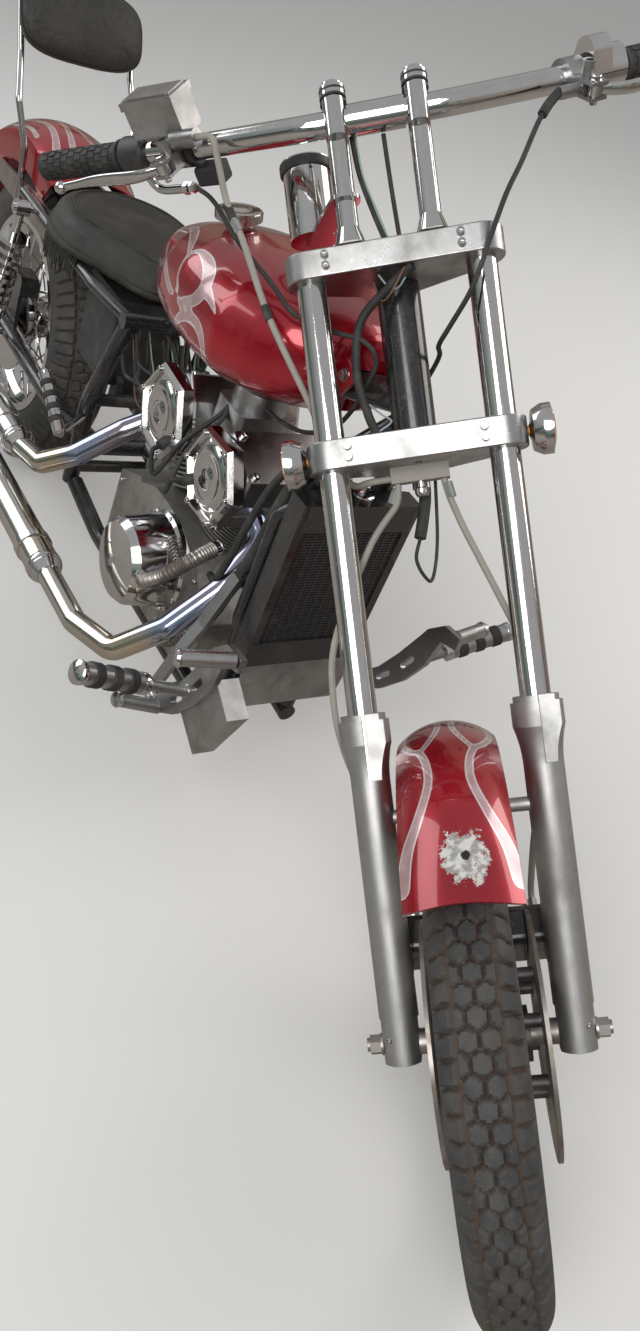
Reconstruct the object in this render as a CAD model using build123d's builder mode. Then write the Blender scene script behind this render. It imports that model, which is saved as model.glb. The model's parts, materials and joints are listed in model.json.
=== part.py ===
from build123d import *
import os
from math import acos, asin, atan2, cos, degrees, radians, sin, sqrt, tan

os.makedirs("parts", exist_ok=True)

# Units are millimetres. The body is drawn upright with the rear axle at X = 0, Y to its left
# and the ground at Z = 0. The fork is drawn straight up, with its axle at the origin, X ahead
# and Z along its tubes. The last section leans the finished machine onto its side stand.

# Driving dimensions of the whole machine
wheelbase = 1897.0
rake = 47.6
rest_lean = 10.0
rest_steer = -42.0
steering_sweep = 84.0

# Wheels
front_tyre_radius = 331.0
front_tyre_width = 92.0
front_rim_radius = 241.0
front_wheel_offset = -8.0
rear_tyre_radius = 320.0
rear_tyre_width = 140.0
rear_rim_radius = 203.0
rim_wall = 4.0
flange_half = 4.0
spoke_stagger = 2.8
rim_flange = 12.0
bead_inset = 16.0
spoke_radius = 2.0
front_spoke_count = 36
rear_spoke_count = 36
axle_radius = 8.5
axle_clearance = 0.5
front_hub_radius = 34.0
front_hub_flange_radius = 58.0
front_hub_half = 60.0
front_flange_place = 24.0
rear_hub_radius = 46.0
rear_hub_flange_radius = 66.0
rear_hub_half = 62.0
rear_flange_place = 34.0
disc_radius = 150.0
disc_bore_radius = 60.0
disc_thickness = 5.0
disc_offset = 70.0
boss_radius = 8.5
boss_circle = 74.0
boss_count = 6
spacer_radius = 16.0

# Fork, trees and steering
tube_radius = 19.5
tube_spread = 220.0
tube_offset = 50.0
slider_radius = 25.5
slider_foot_radius = 24.0
slider_collar_radius = 33.0
slider_collar_height = 30.0
slider_taper_height = 46.0
seal_radius = 29.0
seal_height = 8.0
slider_top = 414.0
slider_bottom = -22.0
slider_bore_depth = 130.0
tube_stand = 3.0
slip = 0.1
lower_tree_height = 735.0
lower_tree_thickness = 38.0
bearing_gap = 1.0
neck_length = 205.0
upper_tree_height = lower_tree_height + lower_tree_thickness + neck_length + 2 * bearing_gap
upper_tree_thickness = 36.0
upper_tree_top = upper_tree_height + upper_tree_thickness
tree_end_radius = 31.0
tree_neck_radius = 36.0
headlamp_hole_radius = 5.5
stem_radius = 15.0
stem_nut_radius = 12.0
stem_nut_height = 26.0
neck_radius = 29.0
neck_clearance = 0.5
axle_half_length = 154.0
axle_nut_width = 22.0
axle_nut_length = 14.0

# Front fender
fender_radius = 402.0
fender_width = 124.0
fender_skirt = 34.0
fender_sheet = 3.0
fender_front_angle = 37.0
fender_back_angle = 150.0
fender_stub_height = 287.0
fender_stub_radius = 9.0

# Handlebar
riser_spread = 105.0
riser_ahead = 18.0
riser_radius = 14.0
riser_foot_radius = 21.0
riser_cap_height = 45.0
bar_radius = 16.0
bar_rise = 160.0
bar_height = upper_tree_top + bar_rise
riser_length = bar_rise + riser_cap_height
bar_bend = 60.0
sleeve_radius = 19.5
bar_kink = (-32.0, 235.0, bar_height + 30.0)
bar_end = (-152.0, 492.0, bar_height + 108.0)
left_end_trim = 40.0
grip_radius = 18.5
grip_length = 154.0

# Engine
crank_centre = (930.0, 375.0)
bank_angle = 26.0
case_half_width = 105.0
barrel_radius = 56.0
fin_radius = 74.0
fin_thickness = 3.0
fin_pitch = 8.0
fin_count = 11
barrel_foot = 92.0
head_height = 62.0
head_half_width = 92.0
head_depth = 124.0
rocker_height = 42.0
rocker_half_width = 104.0
side_cover_radius = 80.0
side_cover_depth = 26.0
clutch_cover_centre = (962.0, 363.0)
clutch_cover_radius = 82.0
clutch_cover_face = 203.0
stator_cover_centre = (930.0, 345.0)
stator_cover_radius = 92.0
stator_cover_face = 178.0

# Frame tubes
frame_tube_radius = 16.0
backbone_radius = 22.0
cradle_half_width = 75.0
cradle_front = 1192.0
cradle_bottom = 205.0
rail_half_width = 114.7

# Tank, seat and backrest
tank_nose = 168.0
tank_length = 537.0
tank_half_width = 168.0
cap_radius = 36.0
seat_gap = 0.3
seat_foot = 634.0
seat_crown = 706.0


def steer_vector(ahead, left, up):
    """Turns a direction given along the fork into body directions."""
    back = radians(rake)
    return Vector(
        ahead * cos(back) - up * sin(back), left, ahead * sin(back) + up * cos(back)
    )


front_axle = Vector(wheelbase, 0, front_tyre_radius)
rear_axle = Vector(0, 0, rear_tyre_radius)
neck_base = front_axle + steer_vector(-tube_offset, 0, lower_tree_height)
neck_plane = Plane(origin=neck_base, x_dir=steer_vector(1, 0, 0), z_dir=steer_vector(0, 0, 1))


def tube(points, radius, bend=0, mode=Mode.ADD):
    """Runs a round bar through the points, added to the open part or cut from it."""
    with BuildLine() as run:
        if len(points) > 2:
            FilletPolyline(*points, radius=bend)
        else:
            Line(*points)
    with BuildSketch(run.line ^ 0) as section:
        Circle(radius)
    sweep(section.sketch, path=run.line, mode=mode)


def both_sides(points, side):
    """Gives the same run of points for the left (+1) or the right (-1) side."""
    return [(x, side * y, z) for x, y, z in points]


def tyre_section(radius, width, rim_radius):
    """Draws half a tyre's section, from the bead to the crown, across Y and up Z."""
    crown = width / 2
    shoulder = radius - crown
    bead = crown - bead_inset
    with BuildLine() as outline:
        ThreePointArc((-crown, shoulder), (0, radius), (crown, shoulder))
        Polyline(
            (crown, shoulder),
            (bead, rim_radius + rim_flange + 2),
            (bead, rim_radius + slip),
            (-bead, rim_radius + slip),
            (-bead, rim_radius + rim_flange + 2),
            (-crown, shoulder),
        )
    make_face(outline.edges())


def rim_section(width, rim_radius):
    """Draws a dropped-centre rim's section across Y and up Z."""
    bead = width / 2 - bead_inset + slip
    lip = bead + rim_wall
    well = rim_radius - 16
    with BuildLine() as outline:
        Polyline(
            (-lip, rim_radius + rim_flange),
            (-bead, rim_radius + rim_flange),
            (-bead, rim_radius),
            (-bead / 2, rim_radius),
            (-bead / 3, well + rim_wall),
            (bead / 3, well + rim_wall),
            (bead / 2, rim_radius),
            (bead, rim_radius),
            (bead, rim_radius + rim_flange),
            (lip, rim_radius + rim_flange),
            (lip, rim_radius - rim_wall),
            (bead / 2 + rim_wall, rim_radius - rim_wall),
            (bead / 3 + 1, well),
            (-bead / 3 - 1, well),
            (-bead / 2 - rim_wall, rim_radius - rim_wall),
            (-lip, rim_radius - rim_wall),
            close=True,
        )
    make_face(outline.edges())


def laced_wheel(centre, offset, width, rim_radius, hub_radius, flange_radius, hub_half, flange_place, count):
    """Adds a rim, its hub and its crossed spokes, all round the axle at the centre."""
    middle = Vector(centre.X, offset, centre.Z)
    section = Plane(origin=middle, x_dir=(0, 1, 0), z_dir=(1, 0, 0))
    spin = Axis(middle, (0, 1, 0))
    with BuildSketch(section) as rim_face:
        rim_section(width, rim_radius)
    revolve(rim_face.sketch, axis=spin)
    with BuildSketch(section) as hub_face:
        with BuildLine():
            Polyline(
                (-hub_half, axle_radius + axle_clearance),
                (-hub_half, hub_radius),
                (-flange_place - flange_half, hub_radius),
                (-flange_place - flange_half, flange_radius),
                (flange_half - flange_place, flange_radius),
                (flange_half - flange_place, hub_radius),
                (flange_place - flange_half, hub_radius),
                (flange_place - flange_half, flange_radius),
                (flange_place + flange_half, flange_radius),
                (flange_place + flange_half, hub_radius),
                (hub_half, hub_radius),
                (hub_half, axle_radius + axle_clearance),
                close=True,
            )
        make_face()
    revolve(hub_face.sketch, axis=spin)
    # Spokes cross from a hub flange to the rim's well, each pair leaning the other way
    spokes = []
    for place in range(count):
        side = 1 if place % 2 else -1
        lean = 1 if place % 4 < 2 else -1
        at_rim = radians(360 * place / count)
        at_hub = at_rim + lean * radians(48)
        foot_across = side * (flange_place - 1.5 + lean * spoke_stagger)
        tip_across = side * (5.2 + lean * spoke_stagger)
        foot = middle + Vector(
            (flange_radius - 4) * cos(at_hub), foot_across, (flange_radius - 4) * sin(at_hub)
        )
        tip = middle + Vector(
            (rim_radius - 14) * cos(at_rim), tip_across, (rim_radius - 14) * sin(at_rim)
        )
        with BuildSketch(Plane(origin=foot, z_dir=tip - foot)) as wire:
            RegularPolygon(spoke_radius, 6)
        spokes.append(extrude(wire.sketch, amount=(tip - foot).length, mode=Mode.PRIVATE))
    add(spokes)


def arched_shell(centre, outer, width, skirt, sheet, front_angle, back_angle, crown):
    """Adds a fender, crowned across and skirted, round the axle at the centre."""
    half = width / 2
    with BuildSketch(Plane(origin=centre, x_dir=(0, 1, 0), z_dir=(1, 0, 0))) as section:
        with BuildLine():
            ThreePointArc((-half, outer - crown), (0, outer), (half, outer - crown))
            Polyline((half, outer - crown), (half, outer - crown - skirt))
            Polyline((half, outer - crown - skirt), (half - sheet, outer - crown - skirt))
            Polyline((half - sheet, outer - crown - skirt), (half - sheet, outer - crown))
            ThreePointArc(
                (half - sheet, outer - crown), (0, outer - sheet), (sheet - half, outer - crown)
            )
            Polyline((sheet - half, outer - crown), (sheet - half, outer - crown - skirt))
            Polyline((sheet - half, outer - crown - skirt), (-half, outer - crown - skirt))
            Polyline((-half, outer - crown - skirt), (-half, outer - crown))
        make_face()
    spin = Axis(centre, (0, 1, 0))
    start = section.sketch.rotate(spin, 90 - back_angle)
    revolve(start, axis=spin, revolution_arc=back_angle - front_angle)


# The front wheel is drawn with its axle along Y at the fork's origin
fork_origin = Vector(0, 0, 0)
front_middle = Plane(origin=(0, front_wheel_offset, 0), x_dir=(0, 1, 0), z_dir=(1, 0, 0))
with BuildPart() as front_tyre:
    with BuildSketch(front_middle):
        tyre_section(front_tyre_radius, front_tyre_width, front_rim_radius)
    revolve(axis=Axis.Y)
front_tyre.part.label = "front_tyre"

with BuildPart() as front_wheel:
    laced_wheel(
        fork_origin,
        front_wheel_offset,
        front_tyre_width,
        front_rim_radius,
        front_hub_radius,
        front_hub_flange_radius,
        front_hub_half,
        front_flange_place,
        front_spoke_count,
    )
    # Bosses on the hub's flanges carry the discs
    for side in (-1, 1):
        boss_root = front_wheel_offset + side * (front_flange_place + flange_half)
        with BuildSketch(Plane(origin=(0, boss_root, 0), z_dir=(0, side, 0))):
            Circle(boss_circle + boss_radius + 3)
            Circle(front_hub_radius - 4, mode=Mode.SUBTRACT)
        extrude(amount=6)
        with BuildSketch(Plane(origin=(0, boss_root, 0), z_dir=(0, side, 0))):
            with PolarLocations(boss_circle, boss_count):
                Circle(boss_radius)
        extrude(amount=disc_offset - disc_thickness - abs(boss_root) - slip)
front_wheel.part.label = "front_wheel"

with BuildPart() as front_discs:
    for side in (-1, 1):
        with BuildSketch(Plane(origin=(0, side * disc_offset, 0), z_dir=(0, -side, 0))):
            Circle(disc_radius)
            Circle(disc_bore_radius, mode=Mode.SUBTRACT)
        extrude(amount=disc_thickness)
front_discs.part.label = "front_discs"

with BuildPart() as front_axle_rod:
    with BuildSketch(Plane.XZ.offset(-axle_half_length)):
        Circle(axle_radius)
    extrude(amount=2 * axle_half_length)
    nut_seat = tube_spread / 2 + slider_radius - 2.5 + slip
    for side in (-1, 1):
        with BuildSketch(Plane(origin=(0, side * nut_seat, 0), z_dir=(0, side, 0))):
            Circle(axle_nut_width * 0.62)
        extrude(amount=3)
        with BuildSketch(Plane(origin=(0, side * (nut_seat + 3), 0), z_dir=(0, side, 0))):
            RegularPolygon(axle_nut_width / 2, 6, major_radius=False)
        extrude(amount=axle_nut_length)
        # Spacers fill the room between the hub and the sliders
        hub_face = side * front_wheel_offset + front_hub_half + bearing_gap
        with BuildSketch(Plane(origin=(0, side * hub_face, 0), z_dir=(0, side, 0))):
            Circle(spacer_radius)
        extrude(amount=tube_spread / 2 - slider_radius + 2.5 - slip - hub_face)
front_axle_rod.part.label = "front_axle"

# Fork legs: a slider with its collar and blind bore, and the tube that stands in it
with BuildPart() as sliders:
    with Locations((0, tube_spread / 2, slider_bottom), (0, -tube_spread / 2, slider_bottom)):
        Cylinder(
            slider_radius,
            slider_top - slider_bottom,
            align=(Align.CENTER, Align.CENTER, Align.MIN),
        )
    # A collar tapers in a hollow curve to the slider, and a seal stands on it
    for side in (-1, 1):
        collar_foot = slider_top - slider_collar_height
        leg = Plane(origin=(0, side * tube_spread / 2, 0), x_dir=(1, 0, 0), z_dir=(0, -1, 0))
        with BuildSketch(leg) as collar:
            with BuildLine():
                Polyline(
                    (slider_radius, collar_foot - slider_taper_height),
                    (tube_radius, collar_foot - slider_taper_height),
                    (tube_radius, slider_top + seal_height),
                    (seal_radius, slider_top + seal_height),
                    (seal_radius, slider_top),
                    (slider_collar_radius, slider_top),
                    (slider_collar_radius, collar_foot),
                )
                ThreePointArc(
                    (slider_collar_radius, collar_foot),
                    (slider_radius + 2, collar_foot - slider_taper_height / 2),
                    (slider_radius, collar_foot - slider_taper_height),
                )
            make_face()
        revolve(collar.sketch, axis=Axis((0, side * tube_spread / 2, 0), (0, 0, 1)))
    with BuildSketch(Plane.XY.offset(slider_top + seal_height)):
        with Locations((0, tube_spread / 2), (0, -tube_spread / 2)):
            Circle(tube_radius + slip)
    extrude(amount=-slider_bore_depth - seal_height, mode=Mode.SUBTRACT)
    with BuildSketch(Plane.XZ.offset(tube_spread)):
        Circle(axle_radius + slip)
    extrude(amount=-2 * tube_spread, mode=Mode.SUBTRACT)
    # Flats on the feet, where the axle's nuts and spacers bear
    for side in (-1, 1):
        for face in (-1, 1):
            across = side * tube_spread / 2 + face * (slider_radius - 2.5)
            bearing = Plane(origin=(0, across, slider_bottom + 26), x_dir=(1, 0, 0), z_dir=(0, face, 0))
            with BuildSketch(bearing):
                Rectangle(2 * slider_radius, 60)
            extrude(amount=slider_radius, mode=Mode.SUBTRACT)
    # Stubs on the inner faces carry the fender
    for side in (-1, 1):
        inner = front_wheel_offset + side * (fender_width / 2 + seat_gap)
        start = Vector(0, side * (tube_spread / 2 - slider_radius + 4), fender_stub_height)
        with BuildSketch(Plane(origin=start, z_dir=(0, -side, 0))):
            Circle(fender_stub_radius)
        extrude(amount=abs(start.Y - inner))
sliders.part.label = "fork_sliders"

with BuildPart() as fork_tubes:
    with BuildSketch(Plane.XY.offset(slider_top - slider_bore_depth)):
        with Locations((0, tube_spread / 2), (0, -tube_spread / 2)):
            Circle(tube_radius)
    extrude(amount=upper_tree_top + tube_stand - slider_top + slider_bore_depth)
    chamfer(fork_tubes.edges().group_by(Axis.Z)[-1], 2)
fork_tubes.part.label = "fork_tubes"


def tree_outline():
    """Draws a fork tree: two tube eyes, a neck eye and the web between them."""
    with Locations((0, tube_spread / 2), (0, -tube_spread / 2)):
        Circle(tree_end_radius)
    with Locations((-tube_offset, 0)):
        Circle(tree_neck_radius)
    make_hull()
    with Locations((0, tube_spread / 2), (0, -tube_spread / 2)):
        Circle(tube_radius + slip, mode=Mode.SUBTRACT)


with BuildPart() as lower_tree:
    with BuildSketch(Plane.XY.offset(lower_tree_height)):
        tree_outline()
    extrude(amount=lower_tree_thickness)
    fillet(lower_tree.edges().filter_by(Plane.XY).filter_by(GeomType.LINE), 2)
    with BuildSketch(Plane.XY.offset(lower_tree_height)):
        Circle(headlamp_hole_radius)
    extrude(amount=lower_tree_thickness, mode=Mode.SUBTRACT)
    with BuildSketch(Plane.XY.offset(lower_tree_height + lower_tree_thickness)):
        with Locations((-tube_offset, 0)):
            Circle(stem_radius)
    extrude(amount=upper_tree_height - lower_tree_height - lower_tree_thickness - slip)
    with BuildSketch(Plane.XY.offset(lower_tree_height)):
        with Locations((-tube_offset, 0)):
            Circle(stem_nut_radius)
    extrude(amount=-stem_nut_height)
lower_tree.part.label = "lower_tree"

with BuildPart() as upper_tree:
    with BuildSketch(Plane.XY.offset(upper_tree_height)):
        tree_outline()
    extrude(amount=upper_tree_thickness)
    fillet(upper_tree.edges().filter_by(Plane.XY).filter_by(GeomType.LINE), 2)
upper_tree.part.label = "upper_tree"

with BuildPart() as risers:
    for side in (-1, 1):
        foot = Plane(origin=(riser_ahead, side * riser_spread / 2, upper_tree_top), z_dir=(0, 0, 1))
        with BuildSketch(foot):
            Circle(riser_foot_radius)
        with BuildSketch(foot.offset(22)):
            Circle(riser_radius)
        loft()
        with BuildSketch(foot.offset(22)):
            Circle(riser_radius)
        extrude(amount=riser_length - 22)
    # The bar lies in a split clamp, so its bore is wider than the riser
    with BuildSketch(Plane.XY.offset(bar_height - 24)):
        with Locations((riser_ahead, riser_spread / 2), (riser_ahead, -riser_spread / 2)):
            SlotCenterToCenter(2 * (bar_radius - riser_radius) + 16, 2 * riser_radius)
    extrude(amount=48)
    with BuildSketch(Plane(origin=(riser_ahead, -riser_spread, bar_height), z_dir=(0, 1, 0))):
        Circle(bar_radius + slip)
    extrude(amount=2 * riser_spread, mode=Mode.SUBTRACT)
    # A ringed cap closes each riser
    with BuildSketch(Plane.XY.offset(upper_tree_top + riser_length)):
        with Locations((riser_ahead, riser_spread / 2), (riser_ahead, -riser_spread / 2)):
            Circle(riser_radius + 2.5)
    extrude(amount=-12)
    with BuildSketch(Plane.XY.offset(upper_tree_top + riser_length)):
        with Locations((riser_ahead, riser_spread / 2), (riser_ahead, -riser_spread / 2)):
            Circle(riser_radius - 1)
    extrude(amount=5)
risers.part.label = "risers"


def bar_run(side):
    """Gives the bar's end and the direction from it towards the middle; the left end is trimmed."""
    tip = Vector(bar_end[0], side * bar_end[1], bar_end[2])
    knee = Vector(bar_kink[0], side * bar_kink[1], bar_kink[2])
    inward = (knee - tip).normalized()
    return tip + inward * (left_end_trim if side > 0 else 0), inward


with BuildPart() as handlebar:
    bar_points = [
        tuple(bar_run(-1)[0]),
        (bar_kink[0], -bar_kink[1], bar_kink[2]),
        (riser_ahead, -riser_spread / 2 - 40, bar_height),
        (riser_ahead, riser_spread / 2 + 40, bar_height),
        bar_kink,
        tuple(bar_run(1)[0]),
    ]
    tube(bar_points, bar_radius, bar_bend)
    sleeve_half = riser_spread / 2 - riser_radius - 3
    with BuildSketch(Plane(origin=(riser_ahead, -sleeve_half, bar_height), z_dir=(0, 1, 0))):
        Circle(sleeve_radius)
    extrude(amount=2 * sleeve_half)
handlebar.part.label = "handlebar"


# What hangs on the bar is placed along its straight outer runs, measured from the bar's end
def bar_plane(side, distance):
    """A plane across the bar, its Z along it and its X away from the rider."""
    tip, inward = bar_run(side)
    forward = Vector(cos(radians(rake)), 0, -sin(radians(rake)))
    across = (forward - inward * forward.dot(inward)).normalized()
    return Plane(origin=tip + inward * distance, x_dir=across, z_dir=inward)


with BuildPart() as grips:
    for side in (-1, 1):
        with BuildSketch(bar_plane(side, -3)):
            Circle(grip_radius)
        extrude(amount=3 - slip)
        with BuildSketch(bar_plane(side, 0)):
            Circle(grip_radius)
            Circle(bar_radius + slip, mode=Mode.SUBTRACT)
        extrude(amount=grip_length)
grips.part.label = "grips"

# Reservoir and lever perch on the right, switch housing and lever perch on the left
perch_width = 26.0
perch_radius = 24.0
perch_arm_half = 11.0
pivot_ahead = 54.0
pivot_pin_radius = 3.5
lever_radius = 6.0
lever_reach = 172.0
lever_eye_radius = 9.0
lever_eye_half = 6.6
lever_side_gap = 0.4
mirror_boss_ahead = 36.0
mirror_boss_radius = 9.0
mirror_boss_height = 30.0
mirror_hole_radius = 5.0
mirror_hole_depth = 18.0
perch_start = 248.0
reservoir_start = 205.0
reservoir_size = (48.0, 44.0, 84.0)
reservoir_lid = 5.0
switch_radius = 25.0
switch_length = 56.0
throttle_length = 42.0
adjuster_ahead = 38.0
adjuster_radius = 7.0
adjuster_length = 34.0
switch_block = (30.0, 26.0, 38.0)


def lever_shape(side, pivot_distance):
    """Adds a lever with an eye on its pivot, bent ahead and then out along the grip."""
    root = bar_plane(side, pivot_distance)
    local = [
        (pivot_ahead + 3, 0, 2 - lever_eye_radius),
        (pivot_ahead + 18, 0, -42),
        (pivot_ahead + 14, 0, -110),
        (pivot_ahead + 20, 0, -lever_reach),
    ]
    points = [root.from_local_coords(place) for place in local]
    tube([tuple(point) for point in points], lever_radius, 26)
    with Locations(points[-1]):
        Sphere(lever_radius + 3)
    pivot = root.from_local_coords((pivot_ahead, 0, 0))
    eye = Plane(origin=pivot, x_dir=root.x_dir, z_dir=root.y_dir)
    with BuildSketch(eye.offset(-lever_eye_half)) as boss:
        Circle(lever_eye_radius)
    extrude(boss.sketch, amount=2 * lever_eye_half)
    with BuildSketch(eye.offset(-lever_eye_radius)) as bore:
        Circle(pivot_pin_radius + slip)
    extrude(bore.sketch, amount=2 * lever_eye_radius, mode=Mode.SUBTRACT)


def perch_shape(side, distance):
    """Adds a clamp round the bar, its slotted arm with the lever's pin, and a mirror's boss."""
    seat = bar_plane(side, distance)
    middle = seat.offset(perch_width / 2)
    arm_end = pivot_ahead + lever_eye_radius
    with BuildSketch(seat) as outline:
        Circle(perch_radius)
        with Locations((arm_end / 2, 0)):
            Rectangle(arm_end, 2 * perch_arm_half)
        Circle(bar_radius + slip, mode=Mode.SUBTRACT)
    extrude(outline.sketch, amount=perch_width)
    pivot = Plane(
        origin=middle.from_local_coords((pivot_ahead, 0, 0)), x_dir=seat.x_dir, z_dir=seat.y_dir
    )
    slot_half = lever_eye_half + lever_side_gap
    with BuildSketch(pivot.offset(-slot_half)) as slot:
        with Locations((lever_eye_radius, 0)):
            Rectangle(4 * lever_eye_radius, 2 * perch_width)
    extrude(slot.sketch, amount=2 * slot_half, mode=Mode.SUBTRACT)
    with BuildSketch(pivot.offset(-perch_arm_half)) as pin:
        Circle(pivot_pin_radius)
    extrude(pin.sketch, amount=2 * perch_arm_half)
    boss_seat = Plane(
        origin=middle.from_local_coords((mirror_boss_ahead, 0, 0)),
        x_dir=seat.x_dir,
        z_dir=seat.y_dir * side,
    ).offset(slot_half)
    with BuildSketch(boss_seat) as boss:
        Circle(mirror_boss_radius)
    extrude(boss.sketch, amount=mirror_boss_height - slot_half)
    with BuildSketch(boss_seat.offset(mirror_boss_height - slot_half)) as hole:
        Circle(mirror_hole_radius)
    extrude(hole.sketch, amount=-mirror_hole_depth, mode=Mode.SUBTRACT)


with BuildPart() as brake_master:
    perch_shape(-1, perch_start)
    reservoir_middle = bar_radius + reservoir_size[0] / 2 + 7
    with BuildSketch(bar_plane(-1, reservoir_start)):
        with Locations((0, -reservoir_middle)):
            RectangleRounded(reservoir_size[1], reservoir_size[0], 6)
    extrude(amount=reservoir_size[2])
    # The lid overhangs the bowl on all sides
    lid_top = bar_radius + reservoir_size[0] + 7
    with BuildSketch(bar_plane(-1, reservoir_start - reservoir_lid / 2)):
        with Locations((0, -lid_top)):
            Rectangle(reservoir_size[1] + reservoir_lid, 2 * reservoir_lid)
    extrude(amount=reservoir_size[2] + reservoir_lid)
    # The cylinder lies beside the bowl, and its outlet points down to the hose
    with BuildSketch(bar_plane(-1, perch_start + perch_width - 4)):
        with Locations((reservoir_size[1] / 2 + 2, -bar_radius - 6)):
            Circle(12)
    extrude(amount=40)
brake_master.part.label = "brake_reservoir"

with BuildPart() as brake_lever:
    lever_shape(-1, perch_start + perch_width / 2)
brake_lever.part.label = "brake_lever"

throttle_start = grip_length + 4
with BuildPart() as right_switch:
    with BuildSketch(bar_plane(-1, throttle_start)):
        Circle(switch_radius)
        Circle(bar_radius + slip, mode=Mode.SUBTRACT)
    extrude(amount=throttle_length)
    chamfer(right_switch.edges().filter_by(GeomType.CIRCLE).group_by(SortBy.RADIUS)[-1], 3)
    # A block of switches hangs on a strap inboard of the lever's clamp
    strap_start = perch_start + perch_width + 1
    with BuildSketch(bar_plane(-1, strap_start)):
        Circle(bar_radius + 4.5)
        with Locations((0, bar_radius + 4)):
            Rectangle(16, 12)
        Circle(bar_radius + slip, mode=Mode.SUBTRACT)
    extrude(amount=9)
    with BuildSketch(bar_plane(-1, strap_start)):
        with Locations((0, bar_radius + 7 + switch_block[1] / 2)):
            RectangleRounded(switch_block[0], switch_block[1], 5)
    extrude(amount=switch_block[2])
right_switch.part.label = "throttle_housing"

left_switch_start = grip_length + 4
left_perch_start = left_switch_start + switch_length + 8
with BuildPart() as left_switch:
    # Two lobes side by side, the inner one standing further up
    lobes = ((0.0, 0.46, 12.0), (0.46, 0.54, 26.0))
    for foot_share, length_share, lobe_rise in lobes:
        with BuildSketch(bar_plane(1, left_switch_start + foot_share * switch_length)) as lobe:
            Circle(switch_radius)
            with Locations((0, lobe_rise)):
                Circle(switch_radius - 7)
            make_hull()
            Circle(bar_radius + slip, mode=Mode.SUBTRACT)
        extrude(lobe.sketch, amount=length_share * switch_length)
left_switch.part.label = "switch_housing"

with BuildPart() as clutch_perch:
    perch_shape(1, left_perch_start)
    # The cable's adjuster is screwed in beside the lever's slot
    adjuster = bar_plane(1, left_perch_start + perch_width - 2)
    with BuildSketch(adjuster):
        with Locations((adjuster_ahead, 0)):
            Circle(adjuster_radius)
    extrude(amount=adjuster_length)
clutch_perch.part.label = "clutch_perch"

with BuildPart() as clutch_lever:
    lever_shape(1, left_perch_start + perch_width / 2)
clutch_lever.part.label = "clutch_lever"

# Side lamps on the lower tree's ends
lamp_radius = 31.0
lamp_depth = 22.0
lamp_stalk_radius = 6.0
lamp_stalk = 6.0
with BuildPart() as side_lamps:
    for side in (-1, 1):
        tree_end = tube_spread / 2 + tree_end_radius + slip
        lamp_height = lower_tree_height + lower_tree_thickness / 2
        with BuildSketch(Plane(origin=(0, side * tree_end, lamp_height), z_dir=(0, side, 0))):
            Circle(lamp_stalk_radius)
        extrude(amount=lamp_stalk)
        lamp_seat = tree_end + lamp_stalk
        with BuildSketch(Plane(origin=(0, side * lamp_seat, lamp_height), z_dir=(0, side, 0))):
            Circle(lamp_radius - 6)
        with BuildSketch(Plane(origin=(0, side * (lamp_seat + lamp_depth / 2), lamp_height), z_dir=(0, side, 0))):
            Circle(lamp_radius)
        loft()
        with BuildSketch(Plane(origin=(0, side * (lamp_seat + lamp_depth / 2), lamp_height), z_dir=(0, side, 0))):
            Circle(lamp_radius)
        extrude(amount=lamp_depth / 2)
side_lamps.part.label = "side_lamps"

# Gauge: a canister on a strap from the upper tree
gauge_radius = 33.0
gauge_place = (-92.0, -106.0)
gauge_foot = upper_tree_top + 62.0
gauge_height = 108.0
with BuildPart() as gauge:
    with BuildSketch(Plane.XY.offset(gauge_foot)):
        with Locations((riser_ahead, -riser_spread / 2)):
            Circle(riser_radius + 6)
        with Locations(gauge_place):
            Circle(12)
        make_hull()
        with Locations((riser_ahead, -riser_spread / 2)):
            Circle(riser_radius + slip, mode=Mode.SUBTRACT)
    extrude(amount=-5)
    with BuildSketch(Plane.XY.offset(gauge_foot)):
        with Locations(gauge_place):
            Circle(gauge_radius)
    extrude(amount=gauge_height)
    with BuildSketch(Plane.XY.offset(gauge_foot + gauge_height - 10)):
        with Locations(gauge_place):
            Circle(gauge_radius + 3)
    extrude(amount=10)
gauge.part.label = "gauge"

with BuildPart() as front_fender:
    fender_middle = Vector(0, front_wheel_offset, 0)
    arched_shell(
        fender_middle,
        fender_radius,
        fender_width,
        fender_skirt,
        fender_sheet,
        fender_front_angle,
        fender_back_angle,
        26,
    )
    # Side plates reach down to the stubs on the sliders
    for side in (-1, 1):
        inner = front_wheel_offset + side * (fender_width / 2 - fender_sheet)
        with BuildSketch(Plane.XZ.offset(-inner)):
            with BuildLine():
                Polyline((-26, 268), (26, 268), (60, 350), (-60, 350), close=True)
            make_face()
        extrude(amount=-side * fender_sheet)
front_fender.part.label = "front_fender"

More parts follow.
